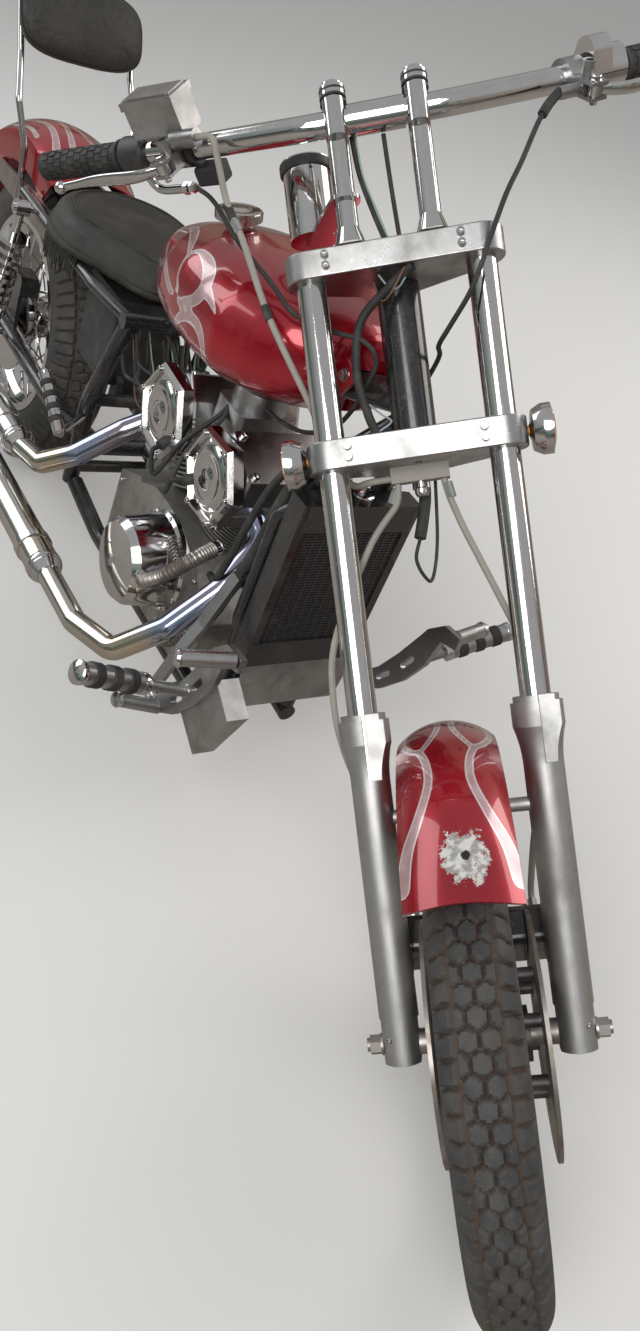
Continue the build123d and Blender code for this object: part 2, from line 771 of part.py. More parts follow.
caliper_angle = 126.0
caliper_reach = 130.0
caliper_size = (82.0, 52.0, 46.0)
with BuildPart() as front_calipers:
    for side in (-1, 1):
        spot = Plane(
            origin=(
                caliper_reach * cos(radians(caliper_angle)),
                side * (disc_offset - disc_thickness / 2),
                caliper_reach * sin(radians(caliper_angle)),
            ),
            x_dir=(-sin(radians(caliper_angle)), 0, cos(radians(caliper_angle))),
            z_dir=(0, 1, 0),
        )
        with BuildSketch(spot.offset(-caliper_size[2] / 2)):
            RectangleRounded(caliper_size[0], caliper_size[1], 12)
        extrude(amount=caliper_size[2])
        # A plate ties the caliper to the slider
        with BuildSketch(Plane.XZ.offset(-side * 86)):
            Polygon((-84, 86), (-84, 134), (2, 128), (2, 74), align=None)
        extrude(amount=-side * 8)
        with BuildSketch(Plane(origin=(0, side * disc_offset + 1.5 * side, 0), z_dir=(0, -side, 0))):
            Circle(disc_radius + 3)
        extrude(amount=disc_thickness + 3, mode=Mode.SUBTRACT)
    with BuildSketch(Plane.XY):
        with Locations((0, tube_spread / 2), (0, -tube_spread / 2)):
            Circle(slider_radius + 2 * slip)
    extrude(amount=300, mode=Mode.SUBTRACT)
front_calipers.part.label = "front_calipers"



def corner_radii(points):
    """Gives each corner of a run a wide radius that still leaves straight pieces beside it."""
    radii = []
    for before, corner, after in zip(points, points[1:], points[2:]):
        arriving = Vector(*corner) - Vector(*before)
        leaving = Vector(*after) - Vector(*corner)
        half_turn = radians(arriving.get_angle(leaving)) / 2
        radii.append(0.45 * min(arriving.length, leaving.length) / tan(half_turn))
    return radii


# Brake hoses: one from the reservoir to a block below the lower tree, one from it to each caliper
brake_hose_radius = 4.5
block_foot = lower_tree_height - 21
block_middle = -22.0
hose_start = bar_plane(-1, perch_start + perch_width + 36 + seat_gap).from_local_coords(
    (reservoir_size[1] / 2 + 2, -bar_radius - 6, 0)
)
caliper_out = Vector(cos(radians(caliper_angle)), 0, sin(radians(caliper_angle)))
caliper_top = caliper_out * (caliper_reach + caliper_size[1] / 2 + seat_gap)
main_hose = [
    tuple(hose_start),
    tuple(hose_start + bar_run(-1)[1] * 26),
    (-22.0, -211.0, 1116.0),
    (-18.0, -196.0, 1072.0),
    (-15.0, -175.0, 966.0),
    (-17.0, -156.0, 905.0),
    (-28.0, -135.0, 844.0),
    (-46.0, -122.0, 800.0),
    (-58.0, -108.0, 752.0),
    (-50.0, -90.0, 722.0),
    (block_middle, -66.0, block_foot + 8),
    (block_middle, -38.0 - seat_gap, block_foot + 8),
]
right_hose = [
    (block_middle, -30.0, block_foot - seat_gap),
    (block_middle, -32.0, 690.0),
    (-24.0, -68.0, 652.0),
    (-26.0, -92.0, 612.0),
    (-34.0, -122.0, 560.0),
    (-30.0, -146.0, 500.0),
    (-30.0, -150.0, 420.0),
    (-44.0, -142.0, 360.0),
    (-62.0, -118.0, 290.0),
    (-78.0, -92.0, 215.0),
    (caliper_top.X - 18, -80.0, caliper_top.Z + 25),
    (caliper_top.X, -80.0, caliper_top.Z),
]
left_hose = [
    (block_middle, 30.0, block_foot - seat_gap),
    (block_middle, 34.0, 690.0),
    (-22.0, 46.0, 650.0),
    (-24.0, 84.0, 548.0),
    (-36.0, 106.0, 490.0),
    (-46.0, 122.0, 430.0),
    (-54.0, 118.0, 360.0),
    (-66.0, 104.0, 290.0),
    (-78.0, 88.0, 215.0),
    (caliper_top.X - 18, 80.0, caliper_top.Z + 25),
    (caliper_top.X, 80.0, caliper_top.Z),
]
with BuildPart() as brake_hoses:
    for hose in (main_hose, right_hose, left_hose):
        tube(hose, brake_hose_radius, corner_radii(hose))
    with BuildSketch(Plane.XY.offset(block_foot)):
        with Locations((block_middle, 0)):
            Rectangle(18, 76)
    extrude(amount=21 - slip)
brake_hoses.part.label = "brake_hoses"
for name, hose in (("main", main_hose), ("right", right_hose), ("left", left_hose)):
    print(name, "hose's bend radii:", [round(radius) for radius in corner_radii(hose)])

radiator_gap = 18.0
radiator_back = cradle_front + frame_tube_radius + radiator_gap

# Frame: the neck round the steering axis, the backbone, the downtubes and the rails
cross_place = (596.0, 612.0)
cross_half_width = 84.0
cross_radius = 15.0
neck_foot = neck_plane.offset(lower_tree_thickness + bearing_gap)
backbone_root = neck_base + steer_vector(0, 0, 92)
backbone_points = [
    tuple(backbone_root),
    (neck_base.X - 200, 0.0, neck_base.Z + 12),
    (neck_base.X - 600, 0.0, neck_base.Z - 48),
    (640.0, 0.0, 660.0),
    (cross_place[0], 0.0, cross_place[1]),
]
with BuildPart() as frame_neck:
    with BuildSketch(neck_foot):
        Circle(neck_radius)
        Circle(stem_radius + neck_clearance, mode=Mode.SUBTRACT)
    extrude(amount=neck_length)
frame_neck.part.label = "frame_neck"


def clear_cross():
    """Cuts what is being drawn back to the cross tube's outer face."""
    with BuildSketch(Plane(origin=(cross_place[0], -200, cross_place[1]), z_dir=(0, 1, 0))) as core:
        Circle(cross_radius + slip)
    extrude(core.sketch, amount=400, mode=Mode.SUBTRACT)


def clear_neck():
    """Cuts what is being drawn back to the neck's outer face."""
    with BuildSketch(neck_foot.offset(-60)) as core:
        Circle(neck_radius + slip)
    extrude(core.sketch, amount=neck_length + 120, mode=Mode.SUBTRACT)


with BuildPart() as frame_backbone:
    tube(backbone_points, backbone_radius, 40)
    clear_neck()
    with BuildSketch(Plane(origin=(cross_place[0], -cross_half_width - 16, cross_place[1]), z_dir=(0, 1, 0))):
        Circle(cross_radius)
    extrude(amount=2 * cross_half_width + 32)
frame_backbone.part.label = "frame_backbone"

downtube_points = [
    tuple(neck_base + steer_vector(-20, 14, 64)),
    (neck_base.X - 88, 36.0, neck_base.Z - 24),
    (neck_base.X - 117, 64.0, neck_base.Z - 110),
    (cradle_front, cradle_half_width, 560.0),
    (cradle_front, cradle_half_width, cradle_bottom + frame_tube_radius),
]
with BuildPart() as frame_downtubes:
    for side in (-1, 1):
        tube(both_sides(downtube_points, side), frame_tube_radius, 70)
    clear_neck()
    tube(backbone_points, backbone_radius + slip, 40, Mode.SUBTRACT)
    with BuildSketch(Plane(origin=(cradle_front, -cradle_half_width, 300), z_dir=(0, 1, 0))):
        Circle(12)
    extrude(amount=2 * cradle_half_width)
    for side in (-1, 1):
        for lug_height in (440.0, 540.0):
            with BuildSketch(Plane(origin=(cradle_front, side * cradle_half_width, lug_height), z_dir=(1, 0, 0))):
                Circle(7)
            extrude(amount=radiator_back - cradle_front - slip)
frame_downtubes.part.label = "frame_downtubes"

rail_points = [
    (cradle_front + frame_tube_radius, cradle_half_width, cradle_bottom),
    (680.0, cradle_half_width + 10, cradle_bottom),
    (563.0, 100.0, 248.0),
]


def rail_half_at(place):
    """How far out a lower rail's middle lies at that place along the machine."""
    front, back = rail_points[0], rail_points[1]
    return front[1] + (back[1] - front[1]) * (front[0] - place) / (front[0] - back[0])


with BuildPart() as frame_lower_rails:
    for side in (-1, 1):
        tube(both_sides(rail_points, side), frame_tube_radius, 90)
frame_lower_rails.part.label = "frame_lower_rails"

upright_points = [
    (540.0, 100.0, 236.0),
    (540.0, 100.0, 420.0),
    (cross_place[0], cross_half_width, cross_place[1]),
]
battery_rail_height = 420.0
battery_rail_radius = 12.0
with BuildPart() as frame_uprights:
    for side in (-1, 1):
        tube(both_sides(upright_points, side), frame_tube_radius, 120)
    clear_cross()
    for height in (270.0, battery_rail_height):
        with BuildSketch(Plane(origin=(upright_points[0][0], -90, height), z_dir=(0, 1, 0))):
            Circle(battery_rail_radius)
        extrude(amount=180)
frame_uprights.part.label = "frame_uprights"

seat_rail_radius = 12.0
seat_rail_level = seat_foot - seat_rail_radius - seat_gap
seat_rail_points = [
    (cross_place[0], cross_half_width, cross_place[1]),
    (480.0, rail_half_width, seat_rail_level),
    (80.0, rail_half_width, seat_rail_level),
]
with BuildPart() as frame_seat_rails:
    for side in (-1, 1):
        tube(both_sides(seat_rail_points, side), seat_rail_radius, 80)
    clear_cross()
    for side in (-1, 1):
        tube(both_sides(upright_points, side), frame_tube_radius + slip, 120, Mode.SUBTRACT)
frame_seat_rails.part.label = "frame_seat_rails"

# Engine: case, two finned barrels, heads, rocker boxes and side covers
crank = Vector(crank_centre[0], 0, crank_centre[1])


def bank_plane(lean, distance):
    """A plane across a cylinder, that far from the crank; its X points left."""
    tilt = radians(lean)
    out = Vector(sin(tilt), 0, cos(tilt))
    return Plane(origin=crank + out * distance, x_dir=(0, 1, 0), z_dir=out)


with BuildPart() as crankcase:
    with BuildSketch(Plane.XZ.offset(-case_half_width)):
        with BuildLine():
            Polyline(
                (742, 232), (1090, 232), (1132, 275), (1132, 355), (1068, 415),
                (1004, 447), (930, 452), (850, 447), (742, 400), close=True,
            )
        make_face()
    extrude(amount=2 * case_half_width)
    fillet(crankcase.edges().filter_by(Axis.Y), 10)
    for lean in (-bank_angle, bank_angle):
        with BuildSketch(bank_plane(lean, barrel_foot - slip)):
            Rectangle(3 * case_half_width, 2.1 * fin_radius)
        extrude(amount=120, mode=Mode.SUBTRACT)
    # Feet stand on the lower rails
    for foot_place in (800.0, 1050.0):
        for side in (-1, 1):
            with BuildSketch(Plane.XY.offset(cradle_bottom + frame_tube_radius + seat_gap)):
                with Locations((foot_place, side * rail_half_at(foot_place))):
                    Rectangle(50, 22)
            extrude(amount=20)
crankcase.part.label = "crankcase"

with BuildPart() as cylinders:
    for lean in (-bank_angle, bank_angle):
        with BuildSketch(bank_plane(lean, barrel_foot)):
            Circle(barrel_radius)
        extrude(amount=fin_pitch * fin_count)
        for fin in range(fin_count):
            with BuildSketch(bank_plane(lean, barrel_foot + fin_pitch * (fin + 0.5))):
                Circle(fin_radius)
            extrude(amount=fin_thickness)
cylinders.part.label = "cylinders"

head_foot = barrel_foot + fin_pitch * fin_count + slip
with BuildPart() as heads:
    for lean in (-bank_angle, bank_angle):
        with BuildSketch(bank_plane(lean, head_foot)):
            RectangleRounded(2 * head_half_width, head_depth, 14)
        extrude(amount=head_height)
    with BuildSketch(Plane.XY.offset(590)):
        with Locations((crank_centre[0], 0)):
            RectangleRounded(88, 110, 12)
    extrude(amount=60)
    with BuildSketch(Plane.XY.offset(650)):
        with Locations((crank_centre[0], 0)):
            Circle(46)
    extrude(amount=34)
heads.part.label = "cylinder_heads"

rocker_foot = head_foot + head_height + slip
with BuildPart() as rockers:
    for lean in (-bank_angle, bank_angle):
        with BuildSketch(bank_plane(lean, rocker_foot)):
            RectangleRounded(2 * head_half_width, 128, 10)
        with BuildSketch(bank_plane(lean, rocker_foot + rocker_height)):
            RectangleRounded(2 * head_half_width - 8, 92, 8)
        loft()
rockers.part.label = "rocker_boxes"

with BuildPart() as head_covers:
    for lean in (-bank_angle, bank_angle):
        for side in (-1, 1):
            middle = bank_plane(lean, head_foot + head_height / 2 + 8)
            seat = Plane(
                origin=middle.origin + Vector(0, side * (head_half_width + slip), 0),
                x_dir=middle.z_dir,
                z_dir=(0, side, 0),
            )
            with BuildSketch(seat):
                RegularPolygon(side_cover_radius, 6)
            extrude(amount=side_cover_depth - 8)
            with BuildSketch(seat.offset(side_cover_depth - 8)):
                RegularPolygon(side_cover_radius, 6)
                RegularPolygon(side_cover_radius - 16, 6, mode=Mode.SUBTRACT)
            extrude(amount=8, taper=30)
head_covers.part.label = "head_side_covers"


def turned_cover(place, side, profile):
    """Adds a round cover on the case's side, its profile given as radius and distance outwards."""
    seat = Plane(
        origin=(place[0], side * (case_half_width + slip), place[1]), x_dir=(1, 0, 0), z_dir=(0, 0, side)
    )
    rim_radius, rim_reach = profile[-1]
    rise = rim_radius * 0.12
    dome_radius = (rim_radius**2 + rise**2) / (2 * rise)
    half_arc = asin(rim_radius / dome_radius) / 2
    dome = rim_reach + rise
    on_dome = (dome_radius * sin(half_arc), dome - dome_radius * (1 - cos(half_arc)))
    with BuildSketch(seat) as section:
        with BuildLine():
            Polyline((0, 0), *profile)
            ThreePointArc(profile[-1], on_dome, (0, dome))
            Line((0, dome), (0, 0))
        make_face()
    revolve(section.sketch, axis=Axis(seat.origin, (0, 1, 0)))


with BuildPart() as clutch_cover:
    reach = clutch_cover_face - case_half_width
    turned_cover(
        clutch_cover_centre,
        -1,
        [(88, 0), (88, 9), (clutch_cover_radius, 13), (74, reach - 20), (65, reach - 8)],
    )
clutch_cover.part.label = "clutch_cover"

with BuildPart() as stator_cover:
    reach = stator_cover_face - case_half_width
    turned_cover(
        stator_cover_centre,
        1,
        [(96, 0), (96, 9), (stator_cover_radius - 4, 13), (80, reach - 18), (70, reach - 9)],
    )
stator_cover.part.label = "stator_cover"

# Radiator ahead of the downtubes, with the guard plate below it
radiator_foot = 392.0
radiator_head = 690.0
radiator_half_width = 104.0
radiator_depth = 40.0
radiator_tank_height = 46.0
radiator_core_inset = 5.0
radiator_shift = -8.0
hose_radius = 9.0
with BuildPart() as radiator:
    radiator_middle = radiator_back + radiator_depth / 2
    with BuildSketch(Plane.XY.offset(radiator_foot)):
        with Locations((radiator_middle, radiator_shift)):
            Rectangle(radiator_depth - 2 * radiator_core_inset, 2 * radiator_half_width)
    extrude(amount=radiator_head - radiator_foot)
    for foot in (radiator_foot, radiator_head - radiator_tank_height):
        with BuildSketch(Plane.XY.offset(foot)):
            with Locations((radiator_middle, radiator_shift)):
                RectangleRounded(radiator_depth, 2 * radiator_half_width, 8)
        extrude(amount=radiator_tank_height)
    for side in (-1, 1):
        with BuildSketch(Plane.XY.offset(radiator_foot)):
            with Locations((radiator_middle, radiator_shift + side * (radiator_half_width - 7))):
                Rectangle(radiator_depth - 2, 14)
        extrude(amount=radiator_head - radiator_foot)
    with BuildSketch(Plane.XY.offset(radiator_head)):
        with Locations((radiator_middle, radiator_shift)):
            Circle(17)
    extrude(amount=12)
    # A hose behind the core links its two tanks
    tube(
        [
            (radiator_back + 4, -94.0, radiator_head - 22),
            (radiator_back - 11, -112.0, radiator_head - 50),
            (radiator_back - 11, -112.0, radiator_foot + 50),
            (radiator_back + 4, -94.0, radiator_foot + 22),
        ],
        hose_radius,
        30,
    )
radiator.part.label = "radiator"

with BuildPart() as belly_plate:
    with BuildSketch(Plane.XZ.offset(radiator_half_width)):
        with BuildLine():
            Polyline(
                (radiator_back + 36, radiator_foot - slip),
                (radiator_back + 40, radiator_foot - slip),
                (radiator_back + 34, 296),
                (radiator_back, 262),
                (radiator_back, 268),
                (radiator_back + 30, 298),
                close=True,
            )
        make_face()
    extrude(amount=-2 * radiator_half_width)
belly_plate.part.label = "belly_plate"

# Tank with a tunnel for the backbone
tank_sections = (
    # behind the neck, half width, bottom, top
    (tank_nose + tank_length, 62.0, -48.0, 10.0),
    (620.0, 112.0, -84.0, 58.0),
    (470.0, 160.0, -90.0, 106.0),
    (320.0, tank_half_width, -78.0, 118.0),
    (220.0, 128.0, -48.0, 112.0),
    (tank_nose, 66.0, 2.0, 90.0),
)
tunnel_half = backbone_radius + 8
rear_slope = atan2(60, 400)
front_slope = atan2(backbone_root.Z - backbone_points[1][2], backbone_root.X - backbone_points[1][0])
rear_rise = (backbone_radius + seat_gap) / cos(rear_slope)
front_rise = (backbone_radius + seat_gap) / cos(front_slope)
tunnel_end = 120.0
with BuildPart() as fuel_tank:
    for behind, half, low, high in tank_sections:
        tall = high - low
        middle = neck_base + Vector(-behind, 0, (low + high) / 2)
        with BuildSketch(Plane(origin=middle, x_dir=(0, 1, 0), z_dir=(1, 0, 0))):
            RectangleRounded(2 * half, tall, min(half, tall / 2) * 0.8)
    loft()
    # Tabs on the nose take the tank's front bolt
    for side in (-1, 1):
        with BuildSketch(Plane.XZ.offset(-side * 46)):
            with BuildLine():
                tab = ((-196, 76), (-128, 54), (-150, 18), (-196, 12))
                Polyline(*[(neck_base.X + x, neck_base.Z + z) for x, z in tab], close=True)
            make_face()
        extrude(amount=-side * 5)
    with BuildSketch(Plane.XZ.offset(tunnel_half)):
        with BuildLine():
            back = backbone_points[2]
            knee = backbone_points[1]
            Polyline(
                (back[0] - tunnel_end, back[2] - 100),
                (back[0] - tunnel_end, back[2] + rear_rise),
                (back[0], back[2] + rear_rise),
                (knee[0], knee[2] + front_rise),
                (backbone_root.X, backbone_root.Z + front_rise),
                (backbone_root.X, back[2] - 100),
                close=True,
            )
        make_face()
    extrude(amount=-2 * tunnel_half, mode=Mode.SUBTRACT)
fuel_tank.part.label = "fuel_tank"

with BuildPart() as filler_cap:
    cap_seat = Plane(origin=neck_base + Vector(-510, -62, 104), z_dir=(-0.14, -0.2, 1))
    with BuildSketch(cap_seat):
        Circle(cap_radius)
    extrude(amount=13)
    with BuildSketch(cap_seat):
        Circle(cap_radius - 7)
    extrude(amount=-40)
    add(fuel_tank.part, mode=Mode.SUBTRACT)
filler_cap.part.label = "filler_cap"

# Seat: wide at the back, narrow at its nose
with BuildPart() as seat:
    with BuildSketch(Plane.XY.offset(seat_foot)):
        with Locations((340, 0)):
            Circle(160)
        with Locations((498, 0)):
            Circle(80)
        make_hull()
    with BuildSketch(Plane.XY.offset(seat_crown)):
        with Locations((340, 0)):
            Circle(130)
        with Locations((494, 0)):
            Circle(60)
        make_hull()
    loft()
seat.part.label = "seat"

# Electrics below the seat
with BuildPart() as battery_box:
    with BuildSketch(Plane.XY.offset(440)):
        with Locations((440, 0)):
            RectangleRounded(150, 140, 8)
    extrude(amount=170)
    # Lugs rest against the cross tube between the uprights
    lug_end = upright_points[0][0] - battery_rail_radius - slip
    for side in (-1, 1):
        with BuildSketch(Plane.XZ.offset(-side * 30)):
            Polygon((500, 412), (lug_end, 412), (lug_end, 452), (500, 470), align=None)
        extrude(amount=-side * 14)
battery_box.part.label = "battery_box"

# Rear wheel, its axle and its arms
rear_middle = Plane(origin=rear_axle, x_dir=(0, 1, 0), z_dir=(1, 0, 0))
rear_spin = Axis(rear_axle, (0, 1, 0))
with BuildPart() as rear_tyre:
    with BuildSketch(rear_middle):
        tyre_section(rear_tyre_radius, rear_tyre_width, rear_rim_radius)
    revolve(axis=rear_spin)
rear_tyre.part.label = "rear_tyre"

with BuildPart() as rear_wheel:
    laced_wheel(
        rear_axle,
        0,
        rear_tyre_width,
        rear_rim_radius,
        rear_hub_radius,
        rear_hub_flange_radius,
        rear_hub_half,
        rear_flange_place,
        rear_spoke_count,
    )
    # The brake disc stands on the hub's right end
    with BuildSketch(Plane(origin=rear_axle - Vector(0, rear_hub_half - 1, 0), z_dir=(0, -1, 0))):
        Circle(rear_hub_radius)
        Circle(24, mode=Mode.SUBTRACT)
    extrude(amount=13)
    with BuildSketch(Plane(origin=rear_axle - Vector(0, 73, 0), z_dir=(0, -1, 0))):
        Circle(125)
        Circle(24, mode=Mode.SUBTRACT)
    extrude(amount=disc_thickness)
rear_wheel.part.label = "rear_wheel"

arm_half_width = 102.0
arm_radius = 17.0
arm_pivot = Vector(upright_points[0][0], 0, rear_tyre_radius)
arm_pivot_radius = 20.0
shaft_radius = 26.0
housing_radius = 62.0
housing_inner = 68.0
housing_outer = 130.0
rear_disc_radius = 125.0
rear_disc_bore = 24.0
rear_disc_place = 73.0
axle_left = 148.0
axle_right = 140.0
with BuildPart() as rear_axle_rod:
    with BuildSketch(Plane(origin=rear_axle - Vector(0, axle_right, 0), z_dir=(0, 1, 0))):
        Circle(axle_radius)
    extrude(amount=axle_left + axle_right)
    spacer_start = rear_disc_place + disc_thickness + bearing_gap
    with BuildSketch(Plane(origin=rear_axle - Vector(0, spacer_start, 0), z_dir=(0, -1, 0))):
        Circle(spacer_radius)
    extrude(amount=arm_half_width - arm_radius - slip - spacer_start)
    for side, nut_reach in ((-1, arm_half_width + arm_radius), (1, housing_outer)):
        nut_plane = Plane(origin=rear_axle + Vector(0, side * (nut_reach + slip), 0), z_dir=(0, side, 0))
        with BuildSketch(nut_plane):
            RegularPolygon(13, 6)
        extrude(amount=14)
rear_axle_rod.part.label = "rear_axle"

right_arm = [
    (arm_pivot.X, -64.0, arm_pivot.Z),
    (arm_pivot.X - 40, -70.0, arm_pivot.Z),
    (arm_pivot.X - 110, -arm_half_width, arm_pivot.Z),
    (-34.0, -arm_half_width, arm_pivot.Z),
]
left_arm = [
    (housing_radius + seat_gap, arm_half_width, arm_pivot.Z),
    (arm_pivot.X - 140, arm_half_width, arm_pivot.Z),
    (arm_pivot.X - 40, 56.0, arm_pivot.Z),
    (arm_pivot.X + 60, 56.0, arm_pivot.Z),
]
with BuildPart() as swing_arm:
    tube(right_arm, arm_radius, 80)
    tube(left_arm, shaft_radius, 100)
    pivot_half = 83.7
    with BuildSketch(Plane(origin=arm_pivot - Vector(0, pivot_half, 0), z_dir=(0, 1, 0))):
        Circle(arm_pivot_radius)
    extrude(amount=2 * pivot_half)
    # The rear brake's caliper stands on the right arm, round its disc
    with BuildSketch(Plane.XZ.offset(96)):
        Polygon((24, 325), (96, 325), (92, 440), (34, 440), align=None)
    extrude(amount=-8)
    with BuildSketch(Plane.XZ.offset(96)):
        with Locations((62, 424)):
            RectangleRounded(72, 46, 10)
    extrude(amount=-40)
    with BuildSketch(Plane(origin=rear_axle - Vector(0, rear_disc_place - 3, 0), z_dir=(0, -1, 0))):
        Circle(rear_disc_radius + 4)
    extrude(amount=disc_thickness + 6, mode=Mode.SUBTRACT)
    with BuildSketch(Plane(origin=rear_axle - Vector(0, 160, 0), z_dir=(0, 1, 0))):
        Circle(axle_radius + slip)
    extrude(amount=160, mode=Mode.SUBTRACT)
swing_arm.part.label = "swing_arm"

# Final drive: the gear housing on the left, and the gaiter at the shaft's front end
with BuildPart() as final_drive:
    gear_plane = Plane(origin=rear_axle, x_dir=(1, 0, 0), z_dir=(0, 0, 1))
    with BuildSketch(gear_plane) as gear_section:
        with BuildLine():
            Polyline(
                (axle_radius + slip, housing_inner),
                (40, housing_inner),
                (housing_radius, housing_inner + 8),
                (housing_radius, housing_outer - 18),
                (housing_radius - 10, housing_outer - 6),
                (30, housing_outer),
                (axle_radius + slip, housing_outer),
                close=True,
            )
        make_face()
    revolve(gear_section.sketch, axis=Axis(rear_axle, (0, 1, 0)))
    gaiter_start = left_arm[-1][0] + seat_gap
    gaiter_ring_count = 6
    gaiter_pitch = (742 - seat_gap - gaiter_start) / gaiter_ring_count
    for ring in range(gaiter_ring_count):
        ring_plane = Plane(
            origin=(gaiter_start + ring * gaiter_pitch, left_arm[-1][1], arm_pivot.Z), z_dir=(1, 0, 0)
        )
        with BuildSketch(ring_plane) as ring_face:
            Circle(34)
        extrude(ring_face.sketch, amount=gaiter_pitch * 0.6)
        with BuildSketch(ring_plane) as core_face:
            Circle(28)
        extrude(core_face.sketch, amount=gaiter_pitch)
final_drive.part.label = "final_drive"

# Rear shocks between the arms and the seat rails
shock_out = 150.0
shock_foot = 92.0
shock_head = 170.0
shock_eye_radius = 15.0
shock_spring_radius = 27.0
with BuildPart() as rear_shocks:
    for side in (-1, 1):
        foot = Vector(shock_foot, side * shock_out, arm_pivot.Z)
        head = Vector(shock_head, side * shock_out, seat_rail_level)
        along = (head - foot).normalized()
        tube([tuple(foot), tuple(head)], 9)
        for place in (foot, head):
            with BuildSketch(Plane(origin=place - Vector(0, side * 14, 0), z_dir=(0, side, 0))):
                Circle(shock_eye_radius)
            extrude(amount=28)
        arm_face = arm_half_width + (shaft_radius if side > 0 else arm_radius) + seat_gap
        with BuildSketch(Plane(origin=(foot.X, side * arm_face, foot.Z), z_dir=(0, side, 0))):
            Circle(7)
        extrude(amount=shock_out + 18 - arm_face)
        rail_face = rail_half_width + seat_rail_radius + seat_gap
        with BuildSketch(Plane(origin=(head.X, side * rail_face, head.Z), z_dir=(0, side, 0))):
            Circle(7)
        extrude(amount=shock_out + 18 - rail_face)
        tube([tuple(foot + along * 34), tuple(foot + along * 160)], 20)
        for coil in range(9):
            start = foot + along * (60 + 22 * coil)
            tube([tuple(start), tuple(start + along * 10)], shock_spring_radius)
rear_shocks.part.label = "rear_shocks"

# Rear fender, its struts, the backrest and its rods
rear_fender_radius = 412.0
plate_spacing = 120.0
plate_drop = 50.0
plate_standoff = 14.0
plate_sheet = 3.0
plate_hole_radius = 3.3
tail_lamp_angle = 160.0
rear_fender_width = 188.0
with BuildPart() as rear_fender:
    arched_shell(rear_axle, rear_fender_radius, rear_fender_width, 56, 3, 66, 188, 34)
rear_fender.part.label = "rear_fender"

strut_inner = rear_fender_width / 2 + seat_gap
strut_thickness = 8.0
strut_outer = strut_inner + strut_thickness
strut_outline = [(190, 572), (190, 628), (60, 628), (-250, 600), (-250, 572)]
with BuildPart() as fender_struts:
    for side in (-1, 1):
        with BuildSketch(Plane.XZ.offset(side * strut_inner)):
            with BuildLine():
                Polyline(*strut_outline, close=True)
            make_face()
        extrude(amount=side * strut_thickness)
fender_struts.part.label = "fender_struts"

pad_tilt = radians(30)
pad_forward = Vector(cos(pad_tilt), 0, sin(pad_tilt))
pad_up = Vector(-sin(pad_tilt), 0, cos(pad_tilt))
pad_back = Vector(-86, 0, 905)
pad_size = (260.0, 150.0, 52.0)
sissy_radius = 6.5
sissy_reach = strut_outer + sissy_radius + slip
sissy_top = pad_back + pad_up * 40 - pad_forward * (sissy_radius + seat_gap)
sissy_low = pad_back - pad_up * 66 - pad_forward * (sissy_radius + seat_gap)
sissy_points = [
    (30.0, sissy_reach, 582.0),
    (22.0, sissy_reach, 690.0),
    (-6.0, 126.0, 770.0),
    (sissy_low.X, 118.0, sissy_low.Z),
    (sissy_top.X, 116.0, sissy_top.Z),
]
with BuildPart() as sissy_bar:
    for side in (-1, 1):
        tube(both_sides(sissy_points, side), sissy_radius, 20)
    with BuildSketch(Plane(origin=(sissy_top.X, -116, sissy_top.Z), z_dir=(0, 1, 0))):
        Circle(sissy_radius)
    extrude(amount=232)
sissy_bar.part.label = "sissy_bar"

with BuildPart() as backrest:
    with BuildSketch(Plane(origin=pad_back, x_dir=(0, 1, 0), z_dir=pad_forward)):
        RectangleRounded(pad_size[0], pad_size[1], 50)
    extrude(amount=pad_size[2])
backrest.part.label = "backrest_pad"

# Tail lamp, with the flat bracket that a number plate is bolted to
tail_out = Vector(cos(radians(tail_lamp_angle)), 0, sin(radians(tail_lamp_angle)))
tail_seat = Plane(
    origin=rear_axle + tail_out * (rear_fender_radius + seat_gap), x_dir=(0, 1, 0), z_dir=tail_out
)
with BuildPart() as tail_lamp:
    with BuildSketch(tail_seat):
        RectangleRounded(70, 40, 12)
    extrude(amount=45)
    with BuildSketch(tail_seat.offset(plate_standoff)):
        with Locations((0, plate_drop - 15)):
            RectangleRounded(plate_spacing + 40, 60, 8)
        with Locations((-plate_spacing / 2, plate_drop), (plate_spacing / 2, plate_drop)):
            Circle(plate_hole_radius, mode=Mode.SUBTRACT)
    extrude(amount=plate_sheet)
tail_lamp.part.label = "tail_lamp"

# Exhaust: two long pipes on the right
pipe_radius = 30.0
header_radius = 20.0


def exhaust_port(lean, left):
    """The middle of a head's outlet face, and the direction that it faces."""
    tilt = radians(lean)
    out = Vector(cos(tilt), 0, -sin(tilt)) * (1 if lean > 0 else -1)
    middle = bank_plane(lean, head_foot + head_height / 2).origin
    return middle + out * (head_depth / 2 + seat_gap) + Vector(0, left, 0), out


front_port, front_out = exhaust_port(bank_angle, -45)
rear_port, rear_out = exhaust_port(-bank_angle, -45)
front_header = [
    tuple(front_port),
    tuple(front_port + front_out * 44),
    (1146.0, -104.0, 452.0),
    (1138.0, -176.0, 366.0),
    (1098.0, -236.0, 290.0),
    (1000.0, -260.0, 268.0),
    (860.0, -262.0, 266.0),
]
rear_header = [
    tuple(rear_port),
    tuple(rear_port + rear_out * 36),
    (728.0, -112.0, 470.0),
    (700.0, -178.0, 398.0),
    (650.0, -218.0, 346.0),
    (560.0, -226.0, 328.0),
]
with BuildPart() as exhaust_front:
    tube(front_header, header_radius, 30)
    tube([front_header[-1], (-60.0, -272.0, 256.0)], pipe_radius)
exhaust_front.part.label = "exhaust_front"

with BuildPart() as exhaust_rear:
    tube(rear_header, header_radius, 24)
    tube([rear_header[-1], (-60.0, -240.0, 318.0)], pipe_radius)
exhaust_rear.part.label = "exhaust_rear"

